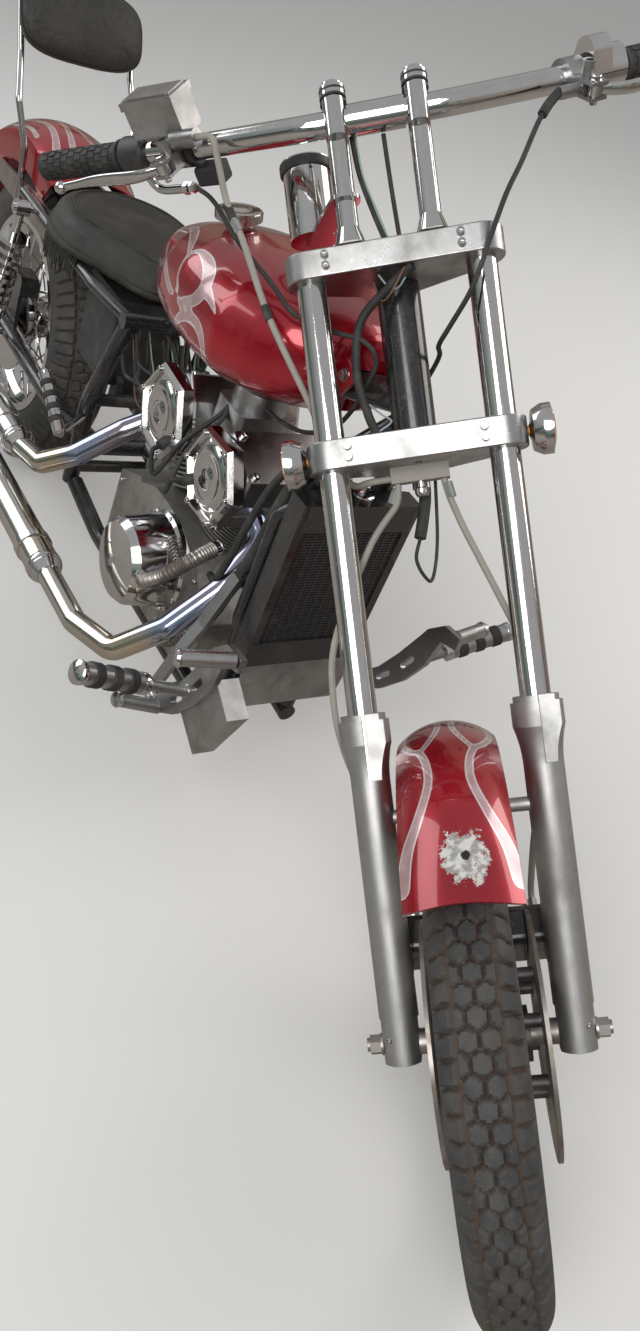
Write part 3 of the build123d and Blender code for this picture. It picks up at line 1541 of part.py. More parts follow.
# Foot controls
peg_radius = 16.0
passenger_peg_radius = 12.0
peg_arm_radius = 8.0
control_inner = 195.0
control_sheet = 10.0
control_outline = [
    (1190, 262), (1216, 262), (1266, 305), (1305, 361), (1331, 420), (1338, 478), (1372, 490),
    (1370, 512), (1330, 506), (1303, 476), (1292, 447), (1271, 394), (1244, 338), (1208, 292),
    (1190, 292),
]
control_slots = ((1262, 334, 57), (1297, 396, 66))
strap_outline = [
    (118, 512), (126, 512), (158, 420), (182, 366), (204, 300), (204, 270), (196, 270),
    (196, 300), (174, 366), (150, 420), (118, 500),
]
wedge_outline = [(1268, 318), (1335, 288), (1380, 404), (1325, 432)]
main_peg = (Vector(1277, 203, 365), Vector(1299, 400, 449))
toe_peg = [(1356.0, 204.0, 500.0), (1335.0, 280.0, 494.0)]
heel_peg = [(1222.0, 204.0, 278.0), (1228.0, 282.0, 312.0)]


def foot_control(side):
    """Adds a slotted plate on its strap and tubes, with the pegs that stand out from it."""
    with BuildSketch(Plane.XZ.offset(-side * control_inner)) as plate:
        with BuildLine():
            Polyline(*control_outline, close=True)
        make_face()
        for x, z, tilt in control_slots:
            with Locations((x, z)):
                SlotCenterToCenter(28, 11, rotation=tilt, mode=Mode.SUBTRACT)
    extrude(plate.sketch, amount=-side * control_sheet)
    with BuildSketch(Plane.YZ.offset(cradle_front - 11)) as strap:
        with BuildLine():
            Polyline(*[(side * y, z) for y, z in strap_outline], close=True)
        make_face()
    extrude(strap.sketch, amount=22)
    tube_face = cradle_half_width + frame_tube_radius + seat_gap
    for height, reach in ((500.0, 120.0), (285.0, 200.0)):
        tube(both_sides([(cradle_front, tube_face, height), (cradle_front, reach, height)], side), 9.5)
    root, tip = main_peg
    knuckle = root + (tip - root) * 0.42
    tube(both_sides([tuple(root), tuple(knuckle)], side), 9)
    tube(both_sides([tuple(knuckle), tuple(tip)], side), peg_radius)
    tube(both_sides(toe_peg, side), 12)
    tube(both_sides(heel_peg, side), 11)


with BuildPart() as right_control:
    foot_control(-1)
    # A wedge stands behind the brake's plate
    with BuildSketch(Plane.XZ.offset(160)):
        with BuildLine():
            Polyline(*wedge_outline, close=True)
        make_face()
    extrude(amount=control_inner + 2 - 160)
right_control.part.label = "right_foot_control"

with BuildPart() as left_control:
    foot_control(1)
left_control.part.label = "left_foot_control"

peg_mount = Vector(upright_points[1][0], upright_points[1][1], 386.0)
peg_hinge = Vector(655.0, 196.0, 413.0)
peg_tip = Vector(551.0, 200.0, 474.0)
peg_arm = (peg_hinge - peg_mount).normalized()
with BuildPart() as passenger_pegs:
    for side in (-1, 1):
        tube(both_sides([tuple(peg_hinge), tuple(peg_tip)], side), passenger_peg_radius)
        peg_gap = peg_arm_radius * peg_arm.Z + 4 * slip
        peg_root = peg_mount + peg_arm * (frame_tube_radius + peg_gap)
        tube(both_sides([tuple(peg_root), tuple(peg_hinge)], side), peg_arm_radius)
passenger_pegs.part.label = "passenger_pegs"

# Stance: both tyres touch the floor with the machine leaning and the fork on its right stop
def lowest(place, radius, width):
    """The lowest point of a round-crowned tyre whose axle is the placed frame's Y."""
    wheel = Plane(place)
    crown = width / 2
    return wheel.origin.Z - (radius - crown) * sqrt(1 - wheel.y_dir.Z**2) - crown


def stance_at(pitch, lift):
    """The place of the body, leaning left and nose up by the pitch."""
    return Location((0, 0, lift)) * Location((0, 0, 0), (-rest_lean, 0, 0)) * Location((0, 0, 0), (0, -pitch, 0))


fork_in_body = (
    neck_plane.location
    * Location((0, 0, 0), (0, 0, rest_steer))
    * Location((tube_offset, 0, -lower_tree_height))
)
rear_in_body = Location(rear_axle)
pitch = 0.0
for settle in range(8):
    body_place = stance_at(pitch, 0)
    front_low = lowest(body_place * fork_in_body, front_tyre_radius, front_tyre_width)
    rear_low = lowest(body_place * rear_in_body, rear_tyre_radius, rear_tyre_width)
    pitch -= degrees(atan2(front_low - rear_low, wheelbase))
body_place = stance_at(pitch, -rear_low)

# Side stand: its foot lies flat on the floor, its leg folds back along the left rail
floor_up = Vector(*(body_place.inverse() * Location((0, 0, 1))).position) - Vector(
    *body_place.inverse().position
)
stand_pivot = Vector(850, 126, 218)
stand_foot_ahead = 90.0
stand_foot_out = 128.0
stand_foot_radius = 24.0
stand_foot_plate = 6.0
stand_leg_radius = 9.0
stand_eye_radius = 15.0
stand_eye_half = 10.0
stand_pin_radius = 5.0
stand_bracket_sheet = 8.0
stand_knee = Vector(stand_pivot.X + stand_foot_ahead, stand_pivot.Y + stand_foot_out, 0)
drop = (body_place * Location(stand_knee)).position.Z / floor_up.Z
stand_foot = stand_knee - Vector(0, 0, drop)
foot_plane = Plane(origin=stand_foot, z_dir=floor_up)
stand_out = (stand_foot - stand_pivot).normalized()
stand_folded = Vector(-1, 0.12, 0.02).normalized()
stand_axis = stand_out.cross(stand_folded).normalized()
stand_fold = degrees(acos(stand_out.dot(stand_folded)))
stand_eye = Plane(origin=stand_pivot, z_dir=stand_axis)
with BuildPart() as side_stand:
    with BuildSketch(foot_plane):
        Circle(stand_foot_radius)
    extrude(amount=stand_foot_plate)
    tube([tuple(stand_pivot), tuple(stand_foot + floor_up * (stand_foot_plate / 2))], stand_leg_radius)
    with BuildSketch(foot_plane):
        Circle(stand_foot_radius * 4)
    extrude(amount=-60, mode=Mode.SUBTRACT)
    with BuildSketch(stand_eye.offset(-stand_eye_half)):
        Circle(stand_eye_radius)
    extrude(amount=2 * stand_eye_half)
    with BuildSketch(stand_eye.offset(-2 * stand_eye_half)):
        Circle(stand_pin_radius + slip / 2)
    extrude(amount=4 * stand_eye_half, mode=Mode.SUBTRACT)
side_stand.part.label = "side_stand"

# The stand's bracket: a plate beside its eye, a pin through it and an arm from the left rail
with BuildPart() as stand_bracket:
    with BuildSketch(stand_eye.offset(-stand_eye_half - bearing_gap / 2)):
        Circle(stand_eye_radius)
    extrude(amount=-stand_bracket_sheet)
    with BuildSketch(stand_eye.offset(-stand_eye_half - 1)):
        Circle(stand_pin_radius)
    extrude(amount=2 * stand_eye_half + 4)
    rail_middle = Vector(stand_pivot.X, rail_half_at(stand_pivot.X), cradle_bottom)
    plate_middle = stand_pivot - stand_axis * (stand_eye_half + stand_bracket_sheet / 2)
    from_rail = (plate_middle - rail_middle).normalized()
    tube([tuple(plate_middle), tuple(rail_middle + from_rail * (frame_tube_radius + 2 * slip))], 4)
stand_bracket.part.label = "stand_bracket"

body_pieces = [
    frame_neck, frame_backbone, frame_downtubes, frame_lower_rails, frame_uprights,
    frame_seat_rails, crankcase, cylinders, heads, rockers, head_covers, clutch_cover,
    stator_cover, radiator, belly_plate, fuel_tank, filler_cap, seat, battery_box,
    rear_tyre, rear_wheel, rear_axle_rod, swing_arm, rear_fender, fender_struts, sissy_bar,
    final_drive, rear_shocks, backrest, tail_lamp, exhaust_front, exhaust_rear, right_control, left_control,
    passenger_pegs, side_stand, stand_bracket,
]
fork_pieces = [
    front_tyre, front_wheel, front_discs, front_axle_rod, sliders, fork_tubes, lower_tree,
    upper_tree, risers, handlebar, grips, brake_master, brake_lever, right_switch,
    left_switch, clutch_perch, clutch_lever, side_lamps, gauge, front_fender, front_calipers,
    brake_hoses,
]

# The finished machine is moved until its box stands centred on the origin
stood = [(piece.part, body_place) for piece in body_pieces]
stood += [(piece.part, body_place * fork_in_body) for piece in fork_pieces]
corners = [(place * solid).bounding_box() for solid, place in stood]
centre_x = (min(box.min.X for box in corners) + max(box.max.X for box in corners)) / 2
centre_y = (min(box.min.Y for box in corners) + max(box.max.Y for box in corners)) / 2
shift = Location((-centre_x, -centre_y, 0))
for solid, place in stood:
    finished = (shift * place) * solid
    finished.label = solid.label
    export_step(finished, f"parts/{solid.label}.step")
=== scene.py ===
import json
import math
import random

import bmesh
import bpy
import numpy as np
from mathutils import Matrix, Vector


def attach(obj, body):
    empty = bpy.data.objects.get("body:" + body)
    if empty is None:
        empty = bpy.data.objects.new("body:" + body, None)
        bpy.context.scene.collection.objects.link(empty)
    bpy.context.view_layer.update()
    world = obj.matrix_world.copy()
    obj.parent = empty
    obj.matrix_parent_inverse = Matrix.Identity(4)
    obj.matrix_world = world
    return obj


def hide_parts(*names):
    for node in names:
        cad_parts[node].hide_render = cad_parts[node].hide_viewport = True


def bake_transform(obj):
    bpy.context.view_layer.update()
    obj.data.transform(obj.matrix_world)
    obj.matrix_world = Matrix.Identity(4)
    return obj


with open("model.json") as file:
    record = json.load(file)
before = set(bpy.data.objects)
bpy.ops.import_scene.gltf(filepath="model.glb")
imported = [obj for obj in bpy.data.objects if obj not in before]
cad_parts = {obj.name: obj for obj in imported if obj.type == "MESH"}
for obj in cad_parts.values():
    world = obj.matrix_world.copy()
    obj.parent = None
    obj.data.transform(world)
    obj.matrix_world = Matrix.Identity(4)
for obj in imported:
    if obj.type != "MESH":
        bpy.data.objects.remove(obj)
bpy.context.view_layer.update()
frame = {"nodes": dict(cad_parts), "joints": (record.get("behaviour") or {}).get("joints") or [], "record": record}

# The machine's own two frames, in metres: the body upright with its rear axle over the origin,
# and the fork upright with its axle at the origin. Both are found again from the joints.
REAR_RADIUS = 0.320
NECK_AHEAD = 1.3205
NECK_HEIGHT = 0.7897
FORK_OFFSET = 0.050
LOWER_TREE = 0.735

joints = {joint["name"]: joint for joint in frame["joints"]}


def as_matrix(origin, ahead, left, up):
    """A place whose X, Y and Z point ahead, left and up."""
    turn = Matrix((ahead, left, up)).transposed().to_4x4()
    return Matrix.Translation(origin) @ turn


def body_place():
    """The upright body's frame, worked out from the rear axle and the neck."""
    axle = Vector(joints["rear_wheel_spin"]["pos_m"])
    left = Vector(joints["rear_wheel_spin"]["axis"]).normalized()
    neck = Vector(joints["steering"]["pos_m"]) - axle
    neck = (neck - left * neck.dot(left)).normalized()
    rise = math.atan2(NECK_HEIGHT - REAR_RADIUS, NECK_AHEAD)
    side = neck.cross(left)
    ahead = neck * math.cos(rise) - side * math.sin(rise)
    up = neck * math.sin(rise) + side * math.cos(rise)
    return as_matrix(axle - up * REAR_RADIUS, ahead, left, up)


def fork_place():
    """The fork's frame, worked out from the steering axis and the front axle."""
    up = Vector(joints["steering"]["axis"]).normalized()
    left = Vector(joints["front_wheel_spin"]["axis"]).normalized()
    left = (left - up * left.dot(up)).normalized()
    ahead = left.cross(up)
    origin = Vector(joints["steering"]["pos_m"]) + ahead * FORK_OFFSET - up * LOWER_TREE
    return as_matrix(origin, ahead, left, up)


BODY = body_place()
FORK = fork_place()


# Camera at the photograph's viewing angle, given in the upright body's frame
NECK = Vector((NECK_AHEAD, 0.0, NECK_HEIGHT))
CAMERA_FROM_NECK = Vector((0.8884554, -0.9160781, 0.5739475))
CAMERA_RIGHT = Vector((0.4709275, 0.8140619, 0.3398978))
CAMERA_DOWN = Vector((0.6766816, -0.0861462, -0.7312187))
CAMERA_AHEAD = Vector((-0.5659764, 0.5743536, -0.5914293))
CAMERA_LENS = 27.86
SENSOR = 36.0


def make_camera():
    data = bpy.data.cameras.new("camera")
    data.sensor_fit = "AUTO"
    data.sensor_width = SENSOR
    data.lens = CAMERA_LENS
    data.clip_start = 0.01
    camera = bpy.data.objects.new("camera", data)
    turn = Matrix((CAMERA_RIGHT, -CAMERA_DOWN, -CAMERA_AHEAD)).transposed().to_4x4()
    camera.matrix_world = BODY @ Matrix.Translation(NECK + CAMERA_FROM_NECK) @ turn
    bpy.context.scene.collection.objects.link(camera)
    bpy.context.scene.camera = camera


make_camera()


# Shader maths as Python expressions
class Value:
    """A shader socket that takes part in Python sums."""

    def __init__(self, paint, socket):
        self.paint = paint
        self.socket = socket

    def maths(self, operation, *others):
        inputs = dict(enumerate((self,) + others))
        return self.paint.node("ShaderNodeMath", {"operation": operation}, inputs)

    def __add__(self, other):
        return self.maths("ADD", other)

    def __mul__(self, other):
        return self.maths("MULTIPLY", other)

    def __sub__(self, other):
        return self.maths("SUBTRACT", other)

    def __rsub__(self, other):
        inputs = {0: other, 1: self}
        return self.paint.node("ShaderNodeMath", {"operation": "SUBTRACT"}, inputs)

    __radd__ = __add__
    __rmul__ = __mul__

    def smallest(self, other):
        return self.maths("MINIMUM", other)


class Nodes:
    """A node tree. Every node in it comes from the node method."""

    def __init__(self, tree):
        self.tree = tree
        self.tree.nodes.clear()

    def node(self, kind, settings=None, inputs=None, output=0):
        made = self.tree.nodes.new(kind)
        for name, value in (settings or {}).items():
            if name == "ramp":
                self.set_ramp(made.color_ramp, value)
            else:
                setattr(made, name, value)
        for key, value in (inputs or {}).items():
            self.feed(made.inputs[key], value)
        return Value(self, made.outputs[output])

    @staticmethod
    def set_ramp(ramp, stops):
        while len(ramp.elements) < len(stops):
            ramp.elements.new(0.5)
        for element, (place, colour) in zip(ramp.elements, stops):
            element.position = place
            element.color = (*colour, 1.0)

    def feed(self, socket, value):
        if isinstance(value, Value):
            self.tree.links.new(value.socket, socket)
        elif isinstance(value, tuple) and len(value) == 3 and socket.type == "RGBA":
            socket.default_value = (*value, 1.0)
        else:
            socket.default_value = value

    def step(self, value, low, high, to_low=0.0, to_high=1.0):
        """Moves a value smoothly from one level to another between two limits."""
        inputs = {"Value": value, 1: low, 2: high, 3: to_low, 4: to_high}
        return self.node("ShaderNodeMapRange", {"interpolation_type": "SMOOTHSTEP"}, inputs)

    def mix(self, share, first, second):
        settings = {"data_type": "RGBA"}
        return self.node("ShaderNodeMix", settings, {0: share, 6: first, 7: second}, 2)


class Paint(Nodes):
    """One material with its Principled shader."""

    def __init__(self, name, metallic=0.0, coat=0.0, ior=1.5):
        self.material = bpy.data.materials.new(name)
        self.material.use_nodes = True
        super().__init__(self.material.node_tree)
        self.shader = self.tree.nodes.new("ShaderNodeBsdfPrincipled")
        self.shader.inputs["Metallic"].default_value = metallic
        self.shader.inputs["Coat Weight"].default_value = coat
        self.shader.inputs["Coat Roughness"].default_value = 0.04
        self.shader.inputs["IOR"].default_value = ior
        end = self.tree.nodes.new("ShaderNodeOutputMaterial")
        self.tree.links.new(self.shader.outputs[0], end.inputs[0])
        self.place = self.node("ShaderNodeTexCoord", output="Object")

    def noise(self, scale, detail=4.0, stretch=(1, 1, 1), rough=0.55):
        """Smooth noise whose scale is in features per metre."""
        place = self.node(
            "ShaderNodeVectorMath", {"operation": "MULTIPLY"}, {0: self.place, 1: stretch}
        )
        inputs = {"Vector": place, "Scale": scale, "Detail": detail, "Roughness": rough}
        return self.node("ShaderNodeTexNoise", None, inputs)

    def cells(self, scale, feature="F1", output="Distance"):
        inputs = {"Vector": self.place, "Scale": scale}
        return self.node("ShaderNodeTexVoronoi", {"feature": feature}, inputs, output)

    def attribute(self, name):
        return self.node("ShaderNodeAttribute", {"attribute_name": name}, None, "Fac")

    def bump(self, height, distance, strength=1.0):
        inputs = {"Height": height, "Distance": distance, "Strength": strength}
        self.feed(self.shader.inputs["Normal"], self.node("ShaderNodeBump", None, inputs))

    def finish(self, colour, roughness, **others):
        self.feed(self.shader.inputs["Base Color"], colour)
        self.feed(self.shader.inputs["Roughness"], roughness)
        for name, value in others.items():
            self.feed(self.shader.inputs[name.replace("_", " ").title()], value)
        return self.material


def chrome(name="chrome", wear=0.35, tint=(0.68, 0.67, 0.67)):
    """Plated steel, with fine pits that have let rust through."""
    paint = Paint(name, metallic=1.0)
    pits = paint.step(paint.noise(260, 3), 0.62, 0.74)
    patches = paint.step(paint.noise(14, 4), 0.50, 0.72)
    rust = pits * patches * wear * 2
    cloud = paint.noise(40, 5)
    colour = paint.mix(paint.step(cloud, 0.3, 0.8) * 0.35, tint, (0.50, 0.48, 0.46))
    colour = paint.mix(rust.smallest(1.0), colour, (0.26, 0.12, 0.06))
    scratches = paint.noise(90, 3, (6, 6, 0.6))
    paint.bump(scratches + pits * 0.6, 0.0002, 0.15)
    dull = paint.step(cloud, 0.35, 0.85, 0.05, 0.16) + patches * wear * 0.12 + rust * 0.4
    return paint.finish(colour, dull, Metallic=1.0 - rust.smallest(1.0) * 0.8)


def bare_metal(name, colour, dark, low, high, grain=(1, 1, 1), depth=0.0002):
    """Bare metal, brushed or cast, with a hand's dirt and small knocks."""
    paint = Paint(name, metallic=1.0)
    cloud = paint.noise(22, 5)
    fine = paint.noise(700, 2, grain)
    stain = paint.step(paint.noise(9, 6, (1, 1, 1), 0.65), 0.48, 0.72)
    shade = paint.mix(paint.step(cloud, 0.35, 0.75), colour, dark)
    shade = paint.mix(stain * 0.45, shade, tuple(part * 0.45 for part in dark))
    paint.bump(fine + cloud * 0.5, depth, 0.4)
    rough = paint.step(cloud, 0.3, 0.75, low, high) + stain * 0.12 + fine * 0.06
    return paint.finish(shade, rough)


def gloss_black(name="black_paint", colour=(0.018, 0.018, 0.02)):
    """Black paint with dust and rubbed places."""
    paint = Paint(name, coat=0.6)
    dust = paint.step(paint.noise(16, 6, (1, 1, 1), 0.7), 0.45, 0.8)
    speck = paint.step(paint.noise(300, 2), 0.62, 0.7)
    shade = paint.mix(dust * 0.28, colour, (0.16, 0.15, 0.135))
    shade = paint.mix(speck * 0.2, shade, (0.3, 0.29, 0.27))
    paint.bump(paint.noise(120, 3), 0.0003, 0.25)
    return paint.finish(shade, 0.22 + dust * 0.35, Coat_Weight=0.6 - dust * 0.5)


def matt_black(name, colour=(0.03, 0.03, 0.031), rough=0.55, pale=(0.15, 0.145, 0.135)):
    """Moulded rubber or plastic with dust lying on it."""
    paint = Paint(name)
    dust = paint.step(paint.noise(30, 6, (1, 1, 1), 0.68), 0.42, 0.8)
    grain = paint.noise(900, 2)
    shade = paint.mix(dust * 0.5, colour, pale)
    paint.bump(grain + dust * 0.4, 0.0003, 0.5)
    return paint.finish(shade, rough + dust * 0.2 + grain * 0.1)


def tyre_rubber():
    """Worn tread: grey with road dust, brown dirt kept in the grooves."""
    paint = Paint("tyre")
    dust = paint.step(paint.noise(26, 6, (1, 1, 1), 0.65), 0.35, 0.75)
    blotch = paint.noise(7, 4)
    deep = paint.attribute("groove")
    shade = paint.mix(dust * 0.75, (0.045, 0.047, 0.05), (0.115, 0.112, 0.108))
    shade = paint.mix(paint.step(blotch, 0.45, 0.7) * 0.4, shade, (0.085, 0.07, 0.055))
    shade = paint.mix(deep * 0.75, shade, (0.075, 0.045, 0.028))
    speck = paint.step(paint.noise(420, 3), 0.6, 0.7)
    shade = paint.mix(speck * 0.3, shade, (0.2, 0.19, 0.17))
    paint.bump(paint.noise(600, 4) + paint.noise(90, 5) * 0.8, 0.0006, 0.6)
    return paint.finish(shade, 0.62 + dust * 0.2 + deep * 0.1)


def candy_red(name="red_paint"):
    """Candy red over a metallic base, with silver flames, under scratched and dusty lacquer."""
    paint = Paint(name, coat=1.0)
    depth = paint.noise(6, 3)
    flake = paint.cells(2600, output="Color")
    glint = paint.node("ShaderNodeSeparateColor", None, {0: flake})
    shade = paint.mix(paint.step(depth, 0.35, 0.7), (0.42, 0.001, 0.016), (0.26, 0.0, 0.008))
    shade = paint.mix(glint * 0.12, shade, (0.60, 0.01, 0.03))
    flame = paint.attribute("airbrush")
    cloud = paint.noise(46, 4)
    silver = paint.mix(cloud, (0.52, 0.34, 0.36), (0.76, 0.64, 0.66))
    inside = paint.step(flame, 0.985, 1.02)
    shade = paint.mix(inside * (0.5 + cloud * 0.55).smallest(1.0), shade, silver)
    gap = (flame - 1.0).maths("ABSOLUTE") * 24.0
    outline = 1.0 - paint.step(gap, 0.5, 1.3)
    shade = paint.mix(outline * 0.85, shade, (0.85, 0.82, 0.81))
    dust = paint.step(paint.noise(20, 6, (1, 1, 1), 0.7), 0.52, 0.85)
    shade = paint.mix(dust * 0.07, shade, (0.5, 0.30, 0.30))
    scrape = paint.attribute("scrape")
    torn = (paint.noise(95, 6, (1, 1, 1), 0.75) - 0.5) * 1.5
    worn = paint.step(scrape + torn * paint.step(scrape, 0.0, 0.1), 0.40, 0.45)
    primer = paint.mix(paint.step(paint.noise(120, 3), 0.4, 0.6), (0.62, 0.61, 0.58), (0.30, 0.29, 0.28))
    shade = paint.mix(worn, shade, primer)
    # The black spot at the scrape's middle is painted shade that stands in for a hole through the sheet.
    hole = paint.step(scrape, 0.86, 0.89)
    shade = paint.mix(hole, shade, (0.01, 0.01, 0.01))
    scratch = paint.noise(160, 2, (0.25, 5, 5))
    paint.bump(scratch + worn * 0.6, 0.0002, 0.08)
    bright = 0.45 - worn * 0.45
    return paint.finish(shade, 0.26 + dust * 0.14 + worn * 0.3, Metallic=bright, Coat_Weight=1.0 - worn)


def leather(name="black_leather"):
    """Worn black hide with green-brown painted sheen, grain and creases."""
    paint = Paint(name)
    # The green-brown patches lightened into the colour are painted sheen; they also raise the roughness.
    painted_sheen = paint.step(paint.noise(12, 6, (1, 1, 1), 0.65), 0.38, 0.72)
    grain = paint.cells(520, "DISTANCE_TO_EDGE")
    crease = paint.step(paint.noise(34, 5, (1, 1, 1), 0.6), 0.45, 0.62)
    shade = paint.mix(painted_sheen * 0.6, (0.020, 0.020, 0.018), (0.075, 0.068, 0.052))
    shade = paint.mix(paint.step(paint.noise(260, 4), 0.6, 0.72) * 0.35, shade, (0.16, 0.15, 0.13))
    paint.bump(paint.step(grain, 0.0, 0.12) * 0.5 + crease, 0.0008, 0.55)
    return paint.finish(shade, 0.42 + painted_sheen * 0.22)


def lens(name, colour):
    """A moulded lamp lens, finely ribbed inside."""
    paint = Paint(name, coat=0.6)
    ribs = paint.cells(300)
    shade = paint.mix(paint.step(ribs, 0.2, 0.7) * 0.5, colour, tuple(part * 0.6 for part in colour))
    paint.bump(ribs, 0.0003, 0.25)
    return paint.finish(shade, 0.16 + paint.noise(80) * 0.1)


def heated_chrome(spots):
    """Exhaust chrome, straw, brown and blue where the headers leave the ports."""
    paint = Paint("heated_chrome", metallic=1.0)
    near = None
    for spot in spots:
        inputs = {0: paint.place, 1: tuple(spot)}
        gap = paint.node("ShaderNodeVectorMath", {"operation": "DISTANCE"}, inputs, "Value")
        near = gap if near is None else near.smallest(gap)
    cloud = paint.noise(24, 4)
    heat = near + (cloud - 0.5) * 0.06
    tint = paint.node("ShaderNodeValToRGB", {"ramp": HEAT_RAMP}, {0: heat * 2.0})
    pits = paint.step(paint.noise(240, 3), 0.6, 0.72) * paint.step(paint.noise(12, 4), 0.5, 0.7)
    shade = paint.mix(pits * 0.7, tint, (0.24, 0.13, 0.07))
    paint.bump(paint.noise(80, 3, (6, 6, 1)) + pits, 0.0002, 0.15)
    return paint.finish(shade, 0.09 + cloud * 0.08 + pits * 0.35)


HEAT_RAMP = [
    (0.0, (0.34, 0.27, 0.24)), (0.16, (0.40, 0.34, 0.38)), (0.26, (0.36, 0.42, 0.58)),
    (0.36, (0.66, 0.55, 0.42)), (0.5, (0.66, 0.64, 0.60)), (1.0, (0.68, 0.68, 0.68)),
]
PORTS = [BODY @ Vector(spot) for spot in ((1.05, -0.13, 0.46), (0.83, -0.13, 0.46))]


def wheel_metal():
    """A plated rim round a dark cast hub, with warm copper patches on the rim that are painted reflection."""
    paint = Paint("wheel_metal", metallic=1.0)
    inputs = {0: paint.place, 1: tuple(joints["front_wheel_spin"]["pos_m"])}
    gap = paint.node("ShaderNodeVectorMath", {"operation": "DISTANCE"}, inputs, "Value")
    outer = paint.step(gap, 0.105, 0.125)
    cloud = paint.noise(30, 5)
    hub = paint.mix(cloud, (0.10, 0.10, 0.105), (0.24, 0.235, 0.23))
    # The brown patches mixed into the rim's colour are painted reflection of warm surroundings.
    rim = paint.mix(paint.step(cloud, 0.45, 0.7), (0.72, 0.69, 0.66), (0.50, 0.33, 0.22))
    paint.bump(paint.noise(300, 3), 0.0003, 0.3)
    return paint.finish(paint.mix(outer, hub, rim), 0.46 - outer * 0.32 + cloud * 0.08)


def rusty_sleeve():
    """A taped sleeve gone brown, dusty and streaked."""
    paint = Paint("rusty_sleeve")
    cloud = paint.noise(60, 5)
    streak = paint.noise(40, 3, (4, 4, 0.5))
    shade = paint.mix(paint.step(cloud, 0.35, 0.7), (0.16, 0.065, 0.03), (0.30, 0.19, 0.12))
    shade = paint.mix(paint.step(streak, 0.5, 0.7) * 0.6, shade, (0.05, 0.035, 0.03))
    paint.bump(cloud, 0.0006, 0.6)
    return paint.finish(shade, 0.65 + cloud * 0.2)


finish_of = {
    "chrome": chrome(),
    "polished_aluminium": bare_metal(
        "polished_aluminium", (0.50, 0.50, 0.505), (0.36, 0.36, 0.355), 0.22, 0.40, (1, 1, 8)
    ),
    "cast_aluminium": bare_metal(
        "cast_aluminium", (0.50, 0.49, 0.47), (0.30, 0.29, 0.27), 0.40, 0.62, (1, 1, 1), 0.0006
    ),
    "steel": bare_metal("steel", (0.45, 0.43, 0.41), (0.27, 0.22, 0.18), 0.30, 0.55),
    "red_paint": candy_red(),
    "black_paint": gloss_black(),
    "tyre": tyre_rubber(),
    "rubber": matt_black("rubber", (0.028, 0.028, 0.028), 0.6),
    "black_plastic": matt_black("black_plastic", (0.03, 0.03, 0.032), 0.42),
    "black_leather": leather(),
    "amber_lens": lens("amber_lens", (0.85, 0.30, 0.03)),
    "red_lens": lens("red_lens", (0.50, 0.02, 0.02)),
    "heated_chrome": heated_chrome(PORTS),
    "rusty_sleeve": rusty_sleeve(),
    "pale_hose": matt_black("pale_hose", (0.34, 0.32, 0.29), 0.5, (0.50, 0.47, 0.42)),
    "satin_aluminium": bare_metal(
        "satin_aluminium", (0.56, 0.56, 0.56), (0.46, 0.46, 0.46), 0.34, 0.46, (8, 8, 1), 0.0003
    ),
    "wheel_metal": wheel_metal(),
    "pale_plastic": matt_black("pale_plastic", (0.62, 0.61, 0.58), 0.5, (0.4, 0.39, 0.36)),
    "gauge_dial": matt_black("gauge_dial", (0.02, 0.02, 0.022), 0.3),
    "wire_blue": matt_black("wire_blue", (0.36, 0.44, 0.52), 0.5),
    "wire_brown": matt_black("wire_brown", (0.20, 0.09, 0.05), 0.5),
    "wire_green": matt_black("wire_green", (0.30, 0.46, 0.36), 0.5),
}

# Finishes that the record has no slot for, with the slot each stands under
NODE_FINISH = {
    "exhaust_front": "heated_chrome", "exhaust_rear": "heated_chrome", "brake_hoses": "pale_hose",
    "fork_sliders": "satin_aluminium", "front_wheel": "wheel_metal",
}
FRONT_OFFSET = -8.0


def dress_nodes():
    """Gives every CAD node the material of its slot."""
    slots = {piece["node"]: piece["material_slot"] for piece in frame["record"]["subparts"]}
    for name, node in frame["nodes"].items():
        node.data.materials.clear()
        node.data.materials.append(finish_of[NODE_FINISH.get(name, slots[name])])


dress_nodes()
random.seed(7)


# Solids and sheets that the scene adds, given in millimetres in one of the machine's own frames
AHEAD = Vector((1, 0, 0))
LEFT = Vector((0, 1, 0))
UP = Vector((0, 0, 1))


def smooth_line(points, step=4.0):
    """A smooth line through the points, sampled about every step."""
    given = [np.array(point, float) for point in points]
    given = [2 * given[0] - given[1]] + given + [2 * given[-1] - given[-2]]
    line = []
    for before, start, end, after in zip(given, given[1:], given[2:], given[3:]):
        count = max(2, int(np.linalg.norm(end - start) / step))
        for t in np.arange(count) / count:
            curve = 2 * start + (end - before) * t
            curve = curve + (2 * before - 5 * start + 4 * end - after) * t**2
            curve = curve + (3 * start - before - 3 * end + after) * t**3
            line.append(0.5 * curve)
    line.append(given[-2])
    return [tuple(point) for point in line]


def across_of(axis):
    """The axis at length 1, with two directions square to it and to each other."""
    axis = Vector(axis).normalized()
    first = axis.cross(UP if abs(axis.z) < 0.9 else AHEAD).normalized()
    return axis, first, axis.cross(first)


def around(count, start=0.0):
    """Cosine and sine of evenly spaced turns."""
    turns = [start + math.tau * step / count for step in range(count)]
    return [(math.cos(turn), math.sin(turn)) for turn in turns]


def on_circle(centre, first, second, radius, count, start=0.0):
    """Evenly spaced spots on a circle, each with its outward direction."""
    for c, s in around(count, start):
        out = first * c + second * s
        yield Vector(centre) + out * radius, out


def sheet_faces(rows, columns, start=0):
    """The faces between rows of points that follow each other from start."""
    return [
        (corner, corner + 1, corner + columns + 1, corner + columns)
        for row in range(rows - 1)
        for corner in range(start + row * columns, start + (row + 1) * columns - 1)
    ]


